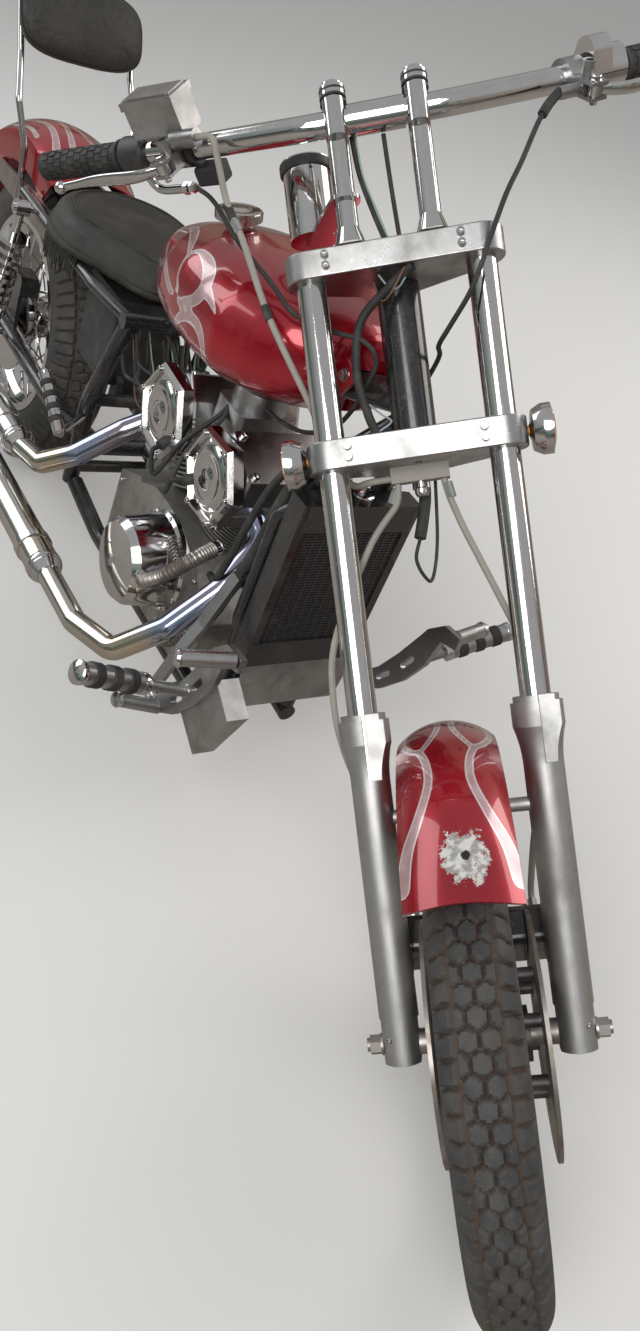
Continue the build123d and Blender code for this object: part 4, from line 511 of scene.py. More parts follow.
class Shape:
    """Gathers simple solids into one mesh."""

    def __init__(self, place):
        self.place = place
        self.points = []
        self.faces = []

    def add(self, points, faces):
        start = len(self.points)
        self.points += [self.place @ (Vector(point) / 1000) for point in points]
        self.faces += [[start + corner for corner in face] for face in faces]

    def rings(self, rings):
        """A closed solid through rings of equally many points."""
        sides = len(rings[0])
        points = [point for ring in rings for point in ring]
        faces = [
            (row * sides + side, row * sides + (side + 1) % sides,
             (row + 1) * sides + (side + 1) % sides, (row + 1) * sides + side)
            for row in range(len(rings) - 1)
            for side in range(sides)
        ]
        last = len(points) - sides
        self.add(points, [*faces, tuple(range(sides)), tuple(range(last, len(points)))])

    def pipe(self, line, radius, sides=10):
        """A tube along the line. The radius is a number or a function of the length run."""
        line = [Vector(point) for point in line]
        first = across_of(line[1] - line[0])[1]
        rings = []
        run = 0.0
        for place, spot in enumerate(line):
            ahead = line[min(place + 1, len(line) - 1)]
            behind = line[max(place - 1, 0)]
            axis = (ahead - behind).normalized()
            first = (first - axis * first.dot(axis)).normalized()
            if place:
                run += (spot - line[place - 1]).length
            here = radius(run) if callable(radius) else radius
            circle = on_circle(spot, first, axis.cross(first), here, sides)
            rings.append([point for point, _ in circle])
        self.rings(rings)

    def turned(self, origin, axis, profile, sides=24, twist=0.0):
        """A turned solid, its profile given as radius and distance along the axis."""
        axis, first, second = across_of(axis)
        rings = []
        for radius, reach in profile:
            middle = Vector(origin) + axis * reach
            circle = on_circle(middle, first, second, max(radius, 0.01), sides, twist)
            rings.append([point for point, _ in circle])
        self.rings(rings)

    def bolt(self, origin, axis, width=10.0, height=5.0):
        """A hexagon head on a washer."""
        self.turned(origin, axis, [(width * 0.72, 0), (width * 0.72, 1.2)], 18)
        half = width / 2 / math.cos(math.pi / 6)
        profile = [(half, 1.0), (half, height * 0.8), (half * 0.84, height)]
        self.turned(origin, axis, profile, 6, random.uniform(0, 1))

    def cap_screw(self, origin, axis, radius=5.0, height=5.0):
        """A round head with a sunk key hole."""
        profile = [
            (radius, 0), (radius, height * 0.85), (radius * 0.88, height),
            (radius * 0.5, height), (radius * 0.45, height * 0.4), (0, height * 0.4),
        ]
        self.turned(origin, axis, profile, 16)

    def block(self, centre, size, axes=(AHEAD, LEFT, UP)):
        """A box with its middle at the centre, its sides along the axes."""
        half = [Vector(axis).normalized() * length / 2 for axis, length in zip(axes, size)]
        corners = [
            Vector(centre) + half[0] * x + half[1] * y + half[2] * z
            for x in (-1, 1) for y in (-1, 1) for z in (-1, 1)
        ]
        faces = [(0, 1, 3, 2), (4, 6, 7, 5), (0, 4, 5, 1), (2, 3, 7, 6), (0, 2, 6, 4), (1, 5, 7, 3)]
        self.add(corners, faces)

    def piece(self, name, finish, body, smooth=True, replaced=()):
        """Ends the gathering: the mesh rides on that body."""
        mesh = bpy.data.meshes.new(name)
        mesh.from_pydata([tuple(point) for point in self.points], [], self.faces)
        shell = bmesh.new()
        shell.from_mesh(mesh)
        bmesh.ops.recalc_face_normals(shell, faces=shell.faces)
        shell.to_mesh(mesh)
        shell.free()
        mesh.materials.append(finish_of[finish])
        made = bpy.data.objects.new(name, mesh)
        bpy.context.scene.collection.objects.link(made)
        if smooth:
            mesh.shade_smooth()
            mesh.set_sharp_from_angle(angle=math.radians(40))
        if body:
            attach(made, body)
        if replaced:
            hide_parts(*replaced)
        return made


def pipes(name, finish, place, body, rows, sides=10, step=4.0):
    """Smooth tubes in one piece. Each row gives a line's points and its radius."""
    shape = Shape(place)
    for points, radius in rows:
        shape.pipe(smooth_line(points, step), radius, sides)
    return shape.piece(name, finish, body)


def turnings(name, finish, place, body, rows, sides=24):
    """Turned solids in one piece. Each row gives an origin, an axis and a profile."""
    shape = Shape(place)
    for origin, axis, profile in rows:
        shape.turned(origin, axis, profile, sides)
    return shape.piece(name, finish, body)


def level(value, low, high):
    """A smooth step from 0 to 1 between two limits, for arrays too."""
    share = np.clip((value - low) / (high - low), 0, 1)
    return share * share * (3 - 2 * share)


def set_attribute(made, name, values):
    held = made.data.attributes.new(name, "FLOAT", "POINT")
    held.data.foreach_set("value", np.asarray(values, np.float32))


# Tyres: a carcass whose tread is cut by grooves between worn blocks
TREAD_DEPTH = 5.0
HEX_SIZE = 25.0
LUG_PITCH = 27.0
MESH_PITCH = 2.6
CROWN_STEPS = 48
WALL_ROWS = (0.12, 0.25, 0.40, 0.47, 0.53, 0.70, 0.85, 0.95, 1.0)
BEAD_INSET = 16.0
WALL_RIB_ABOVE_RIM = 26.0


def hexagon_edge(along, across, size):
    """How far a place is from the nearest edge of its cell in a sheet of hexagons."""
    high = size * math.sqrt(3)

    def from_centre(shift_along, shift_across):
        x = (along - shift_along) / high
        y = (across - shift_across) / size
        return (x - np.round(x)) * high, (y - np.round(y)) * size

    first = from_centre(0, 0)
    second = from_centre(high / 2, size / 2)
    nearer = first[0] ** 2 + first[1] ** 2 < second[0] ** 2 + second[1] ** 2
    x = np.abs(np.where(nearer, first[0], second[0]))
    y = np.abs(np.where(nearer, first[1], second[1]))
    return size / 2 - np.maximum(y, x * math.sqrt(3) / 2 + y / 2)


def tyre_section(radius, crown, rim):
    """Rows from bead to bead, as distance from the middle and from the axle."""
    bead = (crown - BEAD_INSET, rim + 0.6)
    side = [
        (crown * (1 - 0.10 * t) - 14 * t**2.2, (radius - crown) * (1 - t) + (rim + 3) * t)
        for t in WALL_ROWS
    ]
    turns = [math.pi * step / CROWN_STEPS for step in range(CROWN_STEPS + 1)]
    rows = [(-y, r) for y, r in reversed([*side, bead])]
    rows += [(-crown * math.cos(turn), radius - crown + crown * math.sin(turn)) for turn in turns]
    return np.array([*rows, *side, bead])


def tread_grooves(turn, arc, radius, shoulder, edge):
    """How deep the tread is cut, from 0 to 1: hexagons to the shoulder, then lugs to the edge."""
    girth = math.tau * radius
    cell = HEX_SIZE * math.sqrt(3)
    along = turn * radius / girth * round(girth / cell) * cell
    hexed = 1 - level(hexagon_edge(along, arc, HEX_SIZE), 0.8, 2.6)
    phase = turn / math.tau * round(girth / LUG_PITCH) + np.where(arc > 0, 0.5, 0)
    phase = phase + np.abs(arc) * 0.004
    from_lug = (0.5 - np.abs(phase - np.round(phase))) * LUG_PITCH
    lugged = 1 - level(from_lug, 1.6, 3.6)
    border = 1 - level(np.abs(np.abs(arc) - shoulder), 1.0, 2.8)
    cut = np.maximum(np.where(np.abs(arc) < shoulder, hexed, lugged), border)
    return np.where(np.abs(arc) < edge, cut, 0)


def tyre(name, node, body, place, middle, size, reaches):
    """A tyre round the frame's Y axis. The reaches of its blocks are shares of the crown."""
    offset, axle_height = middle
    radius, width, rim = size
    crown = width / 2
    centre = radius - crown
    section = tyre_section(radius, crown, rim)
    across = len(section)
    count = int(math.tau * radius / MESH_PITCH)
    y, turn = np.meshgrid(section[:, 0], np.arange(count) * math.tau / count)
    r = np.broadcast_to(section[:, 1], y.shape)
    lean = np.clip(np.degrees(np.arctan2(y, np.maximum(r - centre, 1e-3))), -89, 89)
    shoulder, edge = (crown * reach for reach in reaches)
    groove = tread_grooves(turn, np.radians(lean) * crown, radius, shoulder, edge)
    depth = groove * TREAD_DEPTH / np.maximum(np.hypot(y, r - centre), 1)
    share = np.where(r > centre - 2, depth, 0)
    wall = (np.abs(y) > crown * 0.6) & (r < radius - crown * 0.6)
    rib = np.where(wall & (np.abs(r - rim - WALL_RIB_ABOVE_RIM) < 2.5), 0.8, 0)
    side = offset + y * (1 - share) + np.sign(y) * rib
    out = r - (r - centre) * share
    points = np.stack([out * np.cos(turn), side, axle_height + out * np.sin(turn)], axis=-1)
    faces = sheet_faces(count, across)
    last = (count - 1) * across
    faces += [(last + row, last + row + 1, row + 1, row) for row in range(across - 1)]
    for ring in range(count):
        here, there = ring * across, (ring + 1) % count * across
        faces.append((here + across - 1, here, there, there + across - 1))
    shape = Shape(place)
    shape.add(points.reshape(-1, 3), faces)
    made = shape.piece(name, "tyre", body, replaced=(node,))
    set_attribute(made, "groove", groove.reshape(-1))


tyre(
    "front_tread", "front_tyre", "front_wheel", FORK, (FRONT_OFFSET, 0.0),
    (331.0, 92.0, 241.0), (0.62, 1.32),
)
tyre(
    "rear_tread", "rear_tyre", "rear_wheel", BODY, (0.0, 320.0),
    (320.0, 140.0, 203.0), (0.60, 1.25),
)


# Flames: bands of silver round red tongues, kept as a distance to the nearest band's edge
FLAME_REACH = 24.0


def flame_field(spots, bands):
    """For each spot, 1 at a band's edge, more inside it, less outside, 0 where none is near."""
    spots = np.asarray(spots, float)
    best = np.full(len(spots), 1e9)
    for band in bands:
        line = np.array(smooth_line(band, 5.0))
        for (ax, ay, aw), (bx, by, bw) in zip(line, line[1:]):
            run = np.array([bx - ax, by - ay])
            share = np.clip(((spots - (ax, ay)) @ run) / max(run @ run, 1e-6), 0, 1)
            near = np.array([ax, ay]) + share[:, None] * run
            gap = np.hypot(*(spots - near).T) - (aw + (bw - aw) * share)
            best = np.minimum(best, gap)
    return np.clip(1 - best / FLAME_REACH, 0, 2)


def mirrored(bands):
    """The bands of a fender, each also on its other side."""
    return [
        [(run, across * side, half) for run, across, half in band]
        for side in (-1, 1)
        for band in bands
    ]


# Distance run from the fender's front edge, distance from its middle, half width
FRONT_FLAMES = mirrored([
    [(30, 64, 9), (70, 56, 8), (115, 37, 5.5), (161, 24, 4.5), (205, 25, 4), (238, 32, 4)],
    [(238, 32, 4), (262, 20, 3.5), (300, 10, 3.2), (345, 9, 3), (385, 16, 2.6), (410, 30, 2)],
    [(238, 32, 4), (262, 46, 3.6), (305, 56, 3.2), (350, 52, 3), (385, 44, 2.6), (410, 30, 2)],
    [(410, 30, 2.6), (470, 22, 2.6), (520, 36, 2.4), (575, 20, 1.6)],
])
REAR_FLAMES = mirrored([
    [(20, 84, 8), (80, 70, 8), (150, 52, 6), (220, 44, 5), (290, 58, 4), (360, 78, 2.5)],
    [(20, 20, 5), (90, 30, 6), (150, 20, 5), (230, 10, 4), (320, 22, 3), (400, 40, 2)],
    [(360, 78, 3), (300, 88, 4), (230, 80, 4), (170, 84, 4)],
    [(400, 40, 2), (460, 60, 3), (540, 66, 3), (640, 40, 1.6)],
])
# Distance ahead, height, half width
TANK_FLAMES = [
    [(863, 798, 2), (849, 808, 2), (840, 825, 2.2), (840, 841, 2.6), (856, 853, 3), (886, 855, 6),
     (912, 851, 9), (930, 842, 12), (936, 826, 13), (922, 806, 9), (898, 792, 7), (876, 784, 4)],
    [(936, 832, 10), (960, 830, 6), (990, 822, 1.5)],
    [(876, 738, 3), (884, 756, 5), (899, 769, 7), (921, 782, 8), (950, 786, 8), (970, 780, 8),
     (982, 768, 7), (985, 754, 6), (978, 740, 5), (966, 728, 4)],
    [(866, 792, 2), (838, 782, 5), (804, 786, 6), (764, 798, 5), (716, 806, 2)],
    [(880, 742, 3), (848, 738, 5), (800, 748, 5), (748, 754, 2)],
    [(842, 838, 2.6), (808, 848, 5), (766, 850, 4), (722, 838, 1.5)],
    [(764, 798, 5), (738, 780, 4), (700, 774, 1.5)],
]

# Fenders: crowned, skirted sheets round an axle, rounded at their ends
FENDER_ROWS = 150
FENDER_BEND = 14.0
END_ROUNDING = 3.5


def fender_section(outer, half, crown, skirt):
    """The sheet from edge to edge, as distance from the middle and from the axle."""
    arc_radius = (half**2 + crown**2) / (2 * crown)
    section = []
    for step in range(-14, 15):
        y = half * step / 14 * 0.985
        section.append((y, outer - arc_radius + math.sqrt(arc_radius**2 - y**2)))
    for step in range(1, 10):
        drop = skirt * step / 9
        y = half - max(0.0, 1 - drop / FENDER_BEND) ** 2 * half * 0.015
        section.append((y, outer - crown - drop))
        section.insert(0, (-y, outer - crown - drop))
    return section


def fender(name, node, body, place, middle, size, angles, bands, plates=()):
    """A painted fender with its flames. Gives its mesh and where each point lies on the sheet."""
    offset, axle_height = middle
    outer, half, crown, skirt, sheet = size
    front, back = angles
    section = fender_section(outer, half, crown, skirt)
    lengths = [0.0]
    for (y0, r0), (y1, r1) in zip(section, section[1:]):
        lengths.append(lengths[-1] + math.hypot(y1 - y0, r1 - r0))
    centre = lengths[-1] / 2
    points, spots = [], []
    for layer in (0, 1):
        for row in range(FENDER_ROWS + 1):
            for (y, r), run in zip(section, lengths):
                lateral = run - centre
                inset = (abs(lateral) / centre) ** 4 * END_ROUNDING
                turn = front + inset + (back - front - inset * 2) * row / FENDER_ROWS
                c, s = math.cos(math.radians(turn)), math.sin(math.radians(turn))
                reach = r - layer * sheet
                side = offset + y * (1 - layer * sheet / half)
                points.append((reach * c, side, axle_height + reach * s))
                spots.append((math.radians(turn - front) * outer, lateral))
    across = len(section)
    inner = (FENDER_ROWS + 1) * across
    faces = sheet_faces(FENDER_ROWS + 1, across) + sheet_faces(FENDER_ROWS + 1, across, inner)
    edges = [row * across + column for row in range(FENDER_ROWS) for column in (0, across - 1)]
    faces += [(edge, edge + across, edge + across + inner, edge + inner) for edge in edges]
    ends = [row * across + column for column in range(across - 1) for row in (0, FENDER_ROWS)]
    faces += [(end, end + 1, end + 1 + inner, end + inner) for end in ends]
    shape = Shape(place)
    shape.add(points, faces)
    for outline, faces_at in plates:
        shape.rings([[(x, y, z) for x, z in outline] for y in faces_at])
    made = shape.piece(name, "red_paint", body, replaced=(node,))
    field = np.zeros(len(shape.points))
    field[:len(points)] = flame_field(spots, bands)
    set_attribute(made, "airbrush", field)
    return made, np.array(spots)


FENDER_PLATE = [(-26, 268), (26, 268), (60, 352), (-60, 352)]
front_sheet, front_spots = fender(
    "front_fender_sheet", "front_fender", "steering", FORK, (FRONT_OFFSET, 0.0),
    (402.0, 62.0, 26.0, 34.0, 3.0), (37.0, 150.0), FRONT_FLAMES,
    [(FENDER_PLATE, (51.0, 54.0)), (FENDER_PLATE, (-70.0, -67.0))],
)
fender(
    "rear_fender_sheet", "rear_fender", "frame", BODY, (0.0, 320.0),
    (412.0, 94.0, 34.0, 56.0, 3.0), (66.0, 188.0), REAR_FLAMES,
)

# The scraped place on the front fender: distance run, distance from the middle, reach
SCRAPE = (52.0, 8.0, 40.0)
scrape = np.zeros(len(front_sheet.data.vertices))
away = np.hypot((front_spots[:, 0] - SCRAPE[0]) * 0.8, front_spots[:, 1] - SCRAPE[1])
scrape[:len(front_spots)] = np.clip(1 - away / SCRAPE[2], 0, 1)
set_attribute(front_sheet, "scrape", scrape)


# Tank: a teardrop through a few sections, with the backbone's tunnel below
TANK_STATIONS = [
    # ahead, half width, bottom, top
    (616, 36, 752, 792), (628, 62, 742, 806), (660, 92, 722, 828), (700, 115, 708, 848),
    (770, 143, 700, 876), (850, 160, 700, 896), (930, 167, 704, 905), (1000, 167, 712, 907),
    (1060, 150, 728, 905), (1100, 128, 743, 900), (1130, 98, 766, 892), (1148, 66, 790, 880),
    (1151.5, 40, 812, 868),
]
TANK_SIDES = 144
TUNNEL_HALF = 29
TAB = [(1125, 866), (1192, 844), (1171, 808), (1125, 802)]


def power_of(value, power):
    """A power that keeps the sign, which squares off a circle."""
    return math.copysign(abs(value) ** power, value)


def tank():
    stations = np.array(TANK_STATIONS, float)
    ahead = np.concatenate([np.linspace(616, 1140, 132), np.linspace(1142, 1151.5, 8)])
    kernel = np.array([1, 4, 7, 10, 7, 4, 1]) / 34
    columns = [np.interp(ahead, stations[:, 0], stations[:, place]) for place in (1, 2, 3)]
    columns = [np.convolve(np.pad(column, 3, "edge"), kernel, "valid") for column in columns]
    rings = []
    for x, wide, foot, top in zip(ahead, *columns):
        middle = foot + (top - foot) * 0.42
        roof = 764.0 + max(0.0, x - 720) * 0.153 if x < 1120 else 826.5 + (x - 1120) * 0.375
        ring = []
        for c, s in around(TANK_SIDES):
            y = wide * power_of(c, 0.86)
            if s > 0:
                z = middle + (top - middle) * power_of(s, 0.80)
            else:
                z = middle + (middle - foot) * power_of(s, 0.62)
            if abs(y) < TUNNEL_HALF and z < middle + 30 and x > 640:
                z = max(z, roof)
            ring.append((x, y, z))
        rings.append(ring)
    points = np.array(rings).reshape(-1, 3)
    shape = Shape(BODY)
    shape.rings(rings)
    for side in (-1, 1):
        shape.rings([[(x, side * y, z) for x, z in TAB] for y in (46, 51)])
    made = shape.piece("tank_shell", "red_paint", "frame", replaced=("fuel_tank",))
    field = np.zeros(len(shape.points))
    side_on = level(np.abs(points[:, 1]), 34, 60)
    field[:len(points)] = flame_field(points[:, [0, 2]], TANK_FLAMES) * side_on
    set_attribute(made, "airbrush", field)


tank()


# Soft parts: a closed form is puffed up by simulation between its pinned seams
PUFF_FRAMES = 20


def simulate(made, pinned, pressure, cap):
    """Swells a closed skin with its seam held, then keeps the result as plain mesh."""
    group = made.vertex_groups.new(name="held")
    group.add([int(place) for place in np.nonzero(pinned)[0]], 1.0, "REPLACE")
    rest = np.array([vertex.co[:] for vertex in made.data.vertices])
    cloth = made.modifiers.new("cloth", "CLOTH")
    cloth.settings.quality = 6
    cloth.settings.mass = 0.25
    cloth.settings.tension_stiffness = 9
    cloth.settings.compression_stiffness = 3
    cloth.settings.bending_stiffness = 0.25
    cloth.settings.use_pressure = True
    cloth.settings.uniform_pressure_force = pressure
    cloth.settings.effector_weights.gravity = 0
    cloth.settings.vertex_group_mass = "held"
    cloth.collision_settings.use_collision = False
    scene = bpy.context.scene
    for count in range(1, PUFF_FRAMES + 1):
        scene.frame_set(count)
    solved = made.evaluated_get(bpy.context.evaluated_depsgraph_get())
    shift = np.array([vertex.co[:] for vertex in solved.data.vertices]) - rest
    length = np.linalg.norm(shift, axis=1, keepdims=True)
    rest = rest + shift * np.minimum(1.0, cap / np.maximum(length, 1e-9))
    made.modifiers.remove(cloth)
    scene.frame_set(1)
    made.data.vertices.foreach_set("co", rest.reshape(-1))
    made.vertex_groups.clear()


def apply_modifiers(made):
    """Swaps the mesh for what its modifiers make of it."""
    solved = made.evaluated_get(bpy.context.evaluated_depsgraph_get())
    skin = bpy.data.meshes.new_from_object(solved)
    made.modifiers.clear()
    made.data = skin
    return skin


def cushion(name, node, place, rings, held_rows, cap, pressure=4.0, voxel=0.0055):
    """A stuffed pad from its rings. The rows named as held are its sewn seams."""
    shape = Shape(place)
    shape.rings(rings)
    made = shape.piece(name, "black_leather", None)
    remesh = made.modifiers.new("remesh", "REMESH")
    remesh.mode = "VOXEL"
    remesh.voxel_size = voxel
    skin = apply_modifiers(made)
    skin.materials.clear()
    skin.materials.append(finish_of["black_leather"])
    here = np.array([vertex.co[:] for vertex in skin.vertices])
    held = np.zeros(len(here), bool)
    for row in held_rows:
        for spot in rings[row]:
            seam = np.array(place @ (Vector(spot) / 1000))
            held |= np.linalg.norm(here - seam, axis=1) < voxel * 1.3
    simulate(made, held, pressure, cap)
    round_off = made.modifiers.new("round", "SUBSURF")
    round_off.levels = round_off.render_levels = 1
    apply_modifiers(made).shade_smooth()
    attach(made, "frame")
    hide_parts(node)


def piped(name, place, rows):
    """Piping round a cushion. Each row gives a ring and its cord's radius."""
    shape = Shape(place)
    for ring, radius in rows:
        shape.pipe([*ring, ring[0], ring[1]], radius, 8)
    shape.piece(name, "black_leather", "frame")


# The saddle from above: a wide circle behind and a narrow one at its nose
SEAT_BACK, SEAT_NOSE = 340.0, 498.0
SEAT_WIDE, SEAT_NARROW = 158.0, 78.0
SADDLE_ROWS = [
    # grown by, height at the tail, height at the nose
    (-72, 635.5, 635.5), (-16, 635.5, 635.5), (-6, 639, 638), (-6, 648, 645), (-10, 658, 653),
    (-15, 672, 664), (-20, 686, 676), (-30, 698, 688), (-46, 703, 694), (-72, 697, 694),
    (-100, 690, 692),
]


def saddle_outline(grow):
    """The saddle's outline, grown outwards by that much."""
    wide, narrow = SEAT_WIDE + grow, max(SEAT_NARROW + grow, 8.0)
    lean = math.asin((wide - narrow) / (SEAT_NOSE - SEAT_BACK))
    points = []
    for middle, radius, start, sweep, count in (
        (SEAT_BACK, wide, math.pi / 2 - lean, math.pi + 2 * lean, 40),
        (SEAT_NOSE, narrow, lean - math.pi / 2, math.pi - 2 * lean, 20),
    ):
        for step in range(count):
            turn = start + sweep * step / (count - 1)
            points.append((middle + radius * math.cos(turn), radius * math.sin(turn)))
    return points


seat_rings = [
    [(x, y, tail + (nose - tail) * level(x, 200, 560)) for x, y in saddle_outline(grow)]
    for grow, tail, nose in SADDLE_ROWS
]
cushion("saddle", "seat", BODY, seat_rings, (1, 4, 8), 0.008)

PAD_TILT = math.radians(30)
PAD_PLACE = BODY @ as_matrix(
    Vector((-0.086, 0, 0.905)),
    Vector((math.cos(PAD_TILT), 0, math.sin(PAD_TILT))),
    LEFT,
    Vector((-math.sin(PAD_TILT), 0, math.cos(PAD_TILT))),
)
PAD_HALF_WIDTH, PAD_HALF_HEIGHT = 130, 75
PAD_SQUARING = 0.62
PAD_ROWS = (
    # inset, reach
    (60, 0.6), (8, 0.6), (3, 8), (2, 24), (6, 36), (20, 45), (50, 48), (70, 48),
)


def pad_ring(inset, reach):
    wide, tall = PAD_HALF_WIDTH - inset, max(PAD_HALF_HEIGHT - inset, 4)
    return [
        (reach, wide * power_of(c, PAD_SQUARING), tall * power_of(s, PAD_SQUARING))
        for c, s in around(64)
    ]


pad_rings = [pad_ring(inset, reach) for inset, reach in PAD_ROWS]
cushion("backrest", "backrest_pad", PAD_PLACE, pad_rings, (1, 3), 0.009)
piped("saddle_piping", BODY, ((seat_rings[4], 2.6), (seat_rings[8], 1.6)))
piped("backrest_piping", PAD_PLACE, ((pad_rings[3], 2.2),))

# A leather fringe hangs from the saddle's right edge
FRINGE_TOP = 640
random.seed(11)
rim = saddle_outline(-12)
strands = []
for (x0, y0), (x1, y1) in zip(rim, rim[1:]):
    for share in (0, 1 / 3, 2 / 3):
        x, y = x0 + (x1 - x0) * share, y0 + (y1 - y0) * share
        if y < -30 and x < 430:
            drop = random.uniform(34, 52)
            swing = random.uniform(-9, 9)
            knee = (x + swing * 0.2, y - 3, FRINGE_TOP - drop * 0.4)
            strands.append(([(x, y, FRINGE_TOP), knee, (x + swing, y - 2, FRINGE_TOP - drop)], 1.5))
pipes("saddle_fringe", "black_leather", BODY, "frame", strands, 5, 6)


# Handlebar: grips with pads, flat levers and small fittings
BAR_TIP = {1: (-135.7, 457.0, 1273.4), -1: (-152.0, -492.0, 1284.0)}
PERCH_START = {-1: 248, 1: 222}
PERCH_AHEAD = 54
GRIP_SURFACE = 18.6


def bar_axes(side):
    """The bar's inward, forward and upward directions on that side."""
    inward = Vector((0.408, -0.8736 * side, -0.265)).normalized()
    return inward, Vector((0.546, 0.466 * side, -0.695)), Vector((0.731, 0.139 * side, 0.667))


def bar_spot(side, distance, ahead=0.0, up=0.0):
    inward, forward, upward = bar_axes(side)
    return Vector(BAR_TIP[side]) + inward * distance + forward * ahead + upward * up


grip_pads = Shape(FORK)
for side in (-1, 1):
    inward, forward, upward = bar_axes(side)
    for row in range(10):
        centre = bar_spot(side, 10 + row * 13.5)
        shift = math.tau / 24 * (row % 2)
        for spot, out in on_circle(centre, forward, upward, GRIP_SURFACE, 12, shift):
            grip_pads.block(spot, (10.5, 7.4, 2.4), (inward, out.cross(inward), out))
    grip_pads.turned(bar_spot(side, 147), inward, [(18.6, 0), (22.5, 2), (23, 6), (19, 7)])
    grip_pads.turned(bar_spot(side, -3), -inward, [(18.6, -2), (19.5, 0), (17, 3), (6, 4)])
grip_pads.piece("grip_pads", "rubber", "steering")

# How far the lever's blade lies ahead of the bar, and back from its pivot
LEVER_PATH = ((57, 7), (66, 24), (71, 46), (69, 90), (68, 120), (72, 150), (76, 172))
LEVER_BALL = [(5, 0), (8.4, 4), (9.2, 9), (7, 14), (2, 17)]


def lever(side, name):
    inward, forward, upward = bar_axes(side)
    pivot = PERCH_START[side] + 13
    line = smooth_line([bar_spot(side, pivot - back, ahead) for ahead, back in LEVER_PATH], 5)
    rings = []
    for place, spot in enumerate(line):
        share = place / (len(line) - 1)
        tall = 7.0 + 2.5 * math.sin(math.pi * min(1, share * 1.2)) - 1.5 * share
        thick = 4.2 - 1.4 * share
        rings.append([
            Vector(spot) + upward * c * tall + forward * s * thick for c, s in around(12)
        ])
    shape = Shape(FORK)
    shape.rings(rings)
    shape.turned(Vector(line[-1]) + inward * 5, -inward, LEVER_BALL, 18)
    shape.turned(bar_spot(side, pivot, PERCH_AHEAD, -7.5), upward, [(9, 1), (9, 14)], 20)
    shape.piece(name + "_blade", "chrome", "steering", replaced=(name,))


lever(-1, "brake_lever")
lever(1, "clutch_lever")

bar_bolts = Shape(FORK)
for side, start in PERCH_START.items():
    _, forward, upward = bar_axes(side)
    pivot = start + 13
    bar_bolts.bolt(bar_spot(side, pivot, PERCH_AHEAD, 11), upward, 11, 6)
    bar_bolts.bolt(bar_spot(side, pivot, PERCH_AHEAD, -11), -upward, 9, 7)
    for ahead in (-9, 9):
        bar_bolts.cap_screw(bar_spot(side, pivot, ahead) - forward * 15, -forward, 4, 5)
inward, forward, upward = bar_axes(-1)
for along in (212, 282):
    for ahead in (-16, 16):
        bar_bolts.cap_screw(bar_spot(-1, along, ahead, 76), upward, 3.4, 2.4)
bar_bolts.bolt(bar_spot(-1, 204, 0, 50), -inward, 14, 8)
bar_bolts.piece("bar_bolts", "chrome", "steering")

# Between the risers, which stand 52.5 mm from the middle and 18 mm ahead
RISER_AHEAD, RISER_SIDE = 18, 52.5
SLEEVE = [(16.3, 0), (17.6, 1), (18.2, 20), (17.4, 50), (17.8, 66), (16.3, 68)]
RISER_RING = [(16.2, 0), (17.1, 0.6), (17.1, 3.0), (16.2, 3.6)]
turnings(
    "bar_sleeve", "rusty_sleeve", FORK, "steering",
    [((RISER_AHEAD, -34, 1176), LEFT, SLEEVE)], 28,
)
turnings(
    "riser_rings", "black_plastic", FORK, "steering",
    [
        ((RISER_AHEAD, side * RISER_SIDE, height), UP, RISER_RING)
        for side in (-1, 1)
        for height in (1199, 1206, 1214)
    ],
    28,
)
reservoir_lid = Shape(FORK)
reservoir_lid.block(bar_spot(-1, 247, 0, 77.2), (78, 38, 3), (inward, forward, upward))
reservoir_lid.piece("reservoir_lid", "polished_aluminium", "steering")

elbow = Shape(FORK)
elbow_line = [(181, -24), (183, -40), (196, -52), (240, -54)]
elbow.pipe(smooth_line([bar_spot(-1, along, 0, up) for along, up in elbow_line]), 6.2, 14)
for along, up, way, profile, sides in (
    (181, -22, -upward, [(10, 0), (10, 7), (8, 9)], 8),
    (236, -54, inward, [(9, 0), (9, 7), (7, 8)], 6),
    (246, -54, inward, [(8, 0), (8, 6), (5, 12)], 6),
):
    elbow.turned(bar_spot(-1, along, 0, up), way, profile, sides)
elbow.piece("throttle_elbow", "chrome", "steering")


# Cables that cross the steering bend between the fork and the frame
CABLE_RADIUS = 3.4
CLUTCH_ON_FORK = [
    (-0.7, 230, 1172.8), (12, 203, 1140), (22, 172, 1085), (36, 147, 1042), (41, 122, 992),
    (39, 104, 955), (27, 87, 928), (2, 58, 898), (-22, 44, 886), (-55, 43, 880),
]
CLUTCH_ON_BODY = [
    (1205, 54, 846), (1188, 62, 790), (1168, 82, 700), (1158, 99, 600), (1150, 112, 500),
    (1110, 125, 430), (1050, 140, 402), (1003, 140, 389.6),
]
THROTTLE_ON_FORK = [
    bar_spot(-1, 256, 0, -54), (-60, -234, 1142), (-36, -204, 1072), (-31, -166, 1008),
    (-33, -140, 962), (-28, -95, 930), (-16, -52, 905), (-30, -39, 880),
]
THROTTLE_ON_BODY = [
    (1206, -42, 842), (1194, -40, 798), (1176, -44, 760), (1128, -46, 722), (1060, -36, 694),
    (982, -22, 672),
]


def in_world(place, points):
    return [place @ (Vector(point) / 1000) * 1000 for point in points]


def crossing_cable(name, fork_points, body_points):
    """A cable through points given first in the fork's frame, then in the body's, made as one fixed tube in the
    world.
    """
    line = smooth_line(in_world(FORK, fork_points) + in_world(BODY, body_points), 5)
    cable = Shape(Matrix.Identity(4))
    cable.pipe(line, CABLE_RADIUS)
    made = cable.piece(name, "rubber", None)
    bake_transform(made)


crossing_cable("clutch_cable", CLUTCH_ON_FORK, CLUTCH_ON_BODY)
crossing_cable(
    "throttle_cable", THROTTLE_ON_FORK, THROTTLE_ON_BODY
)

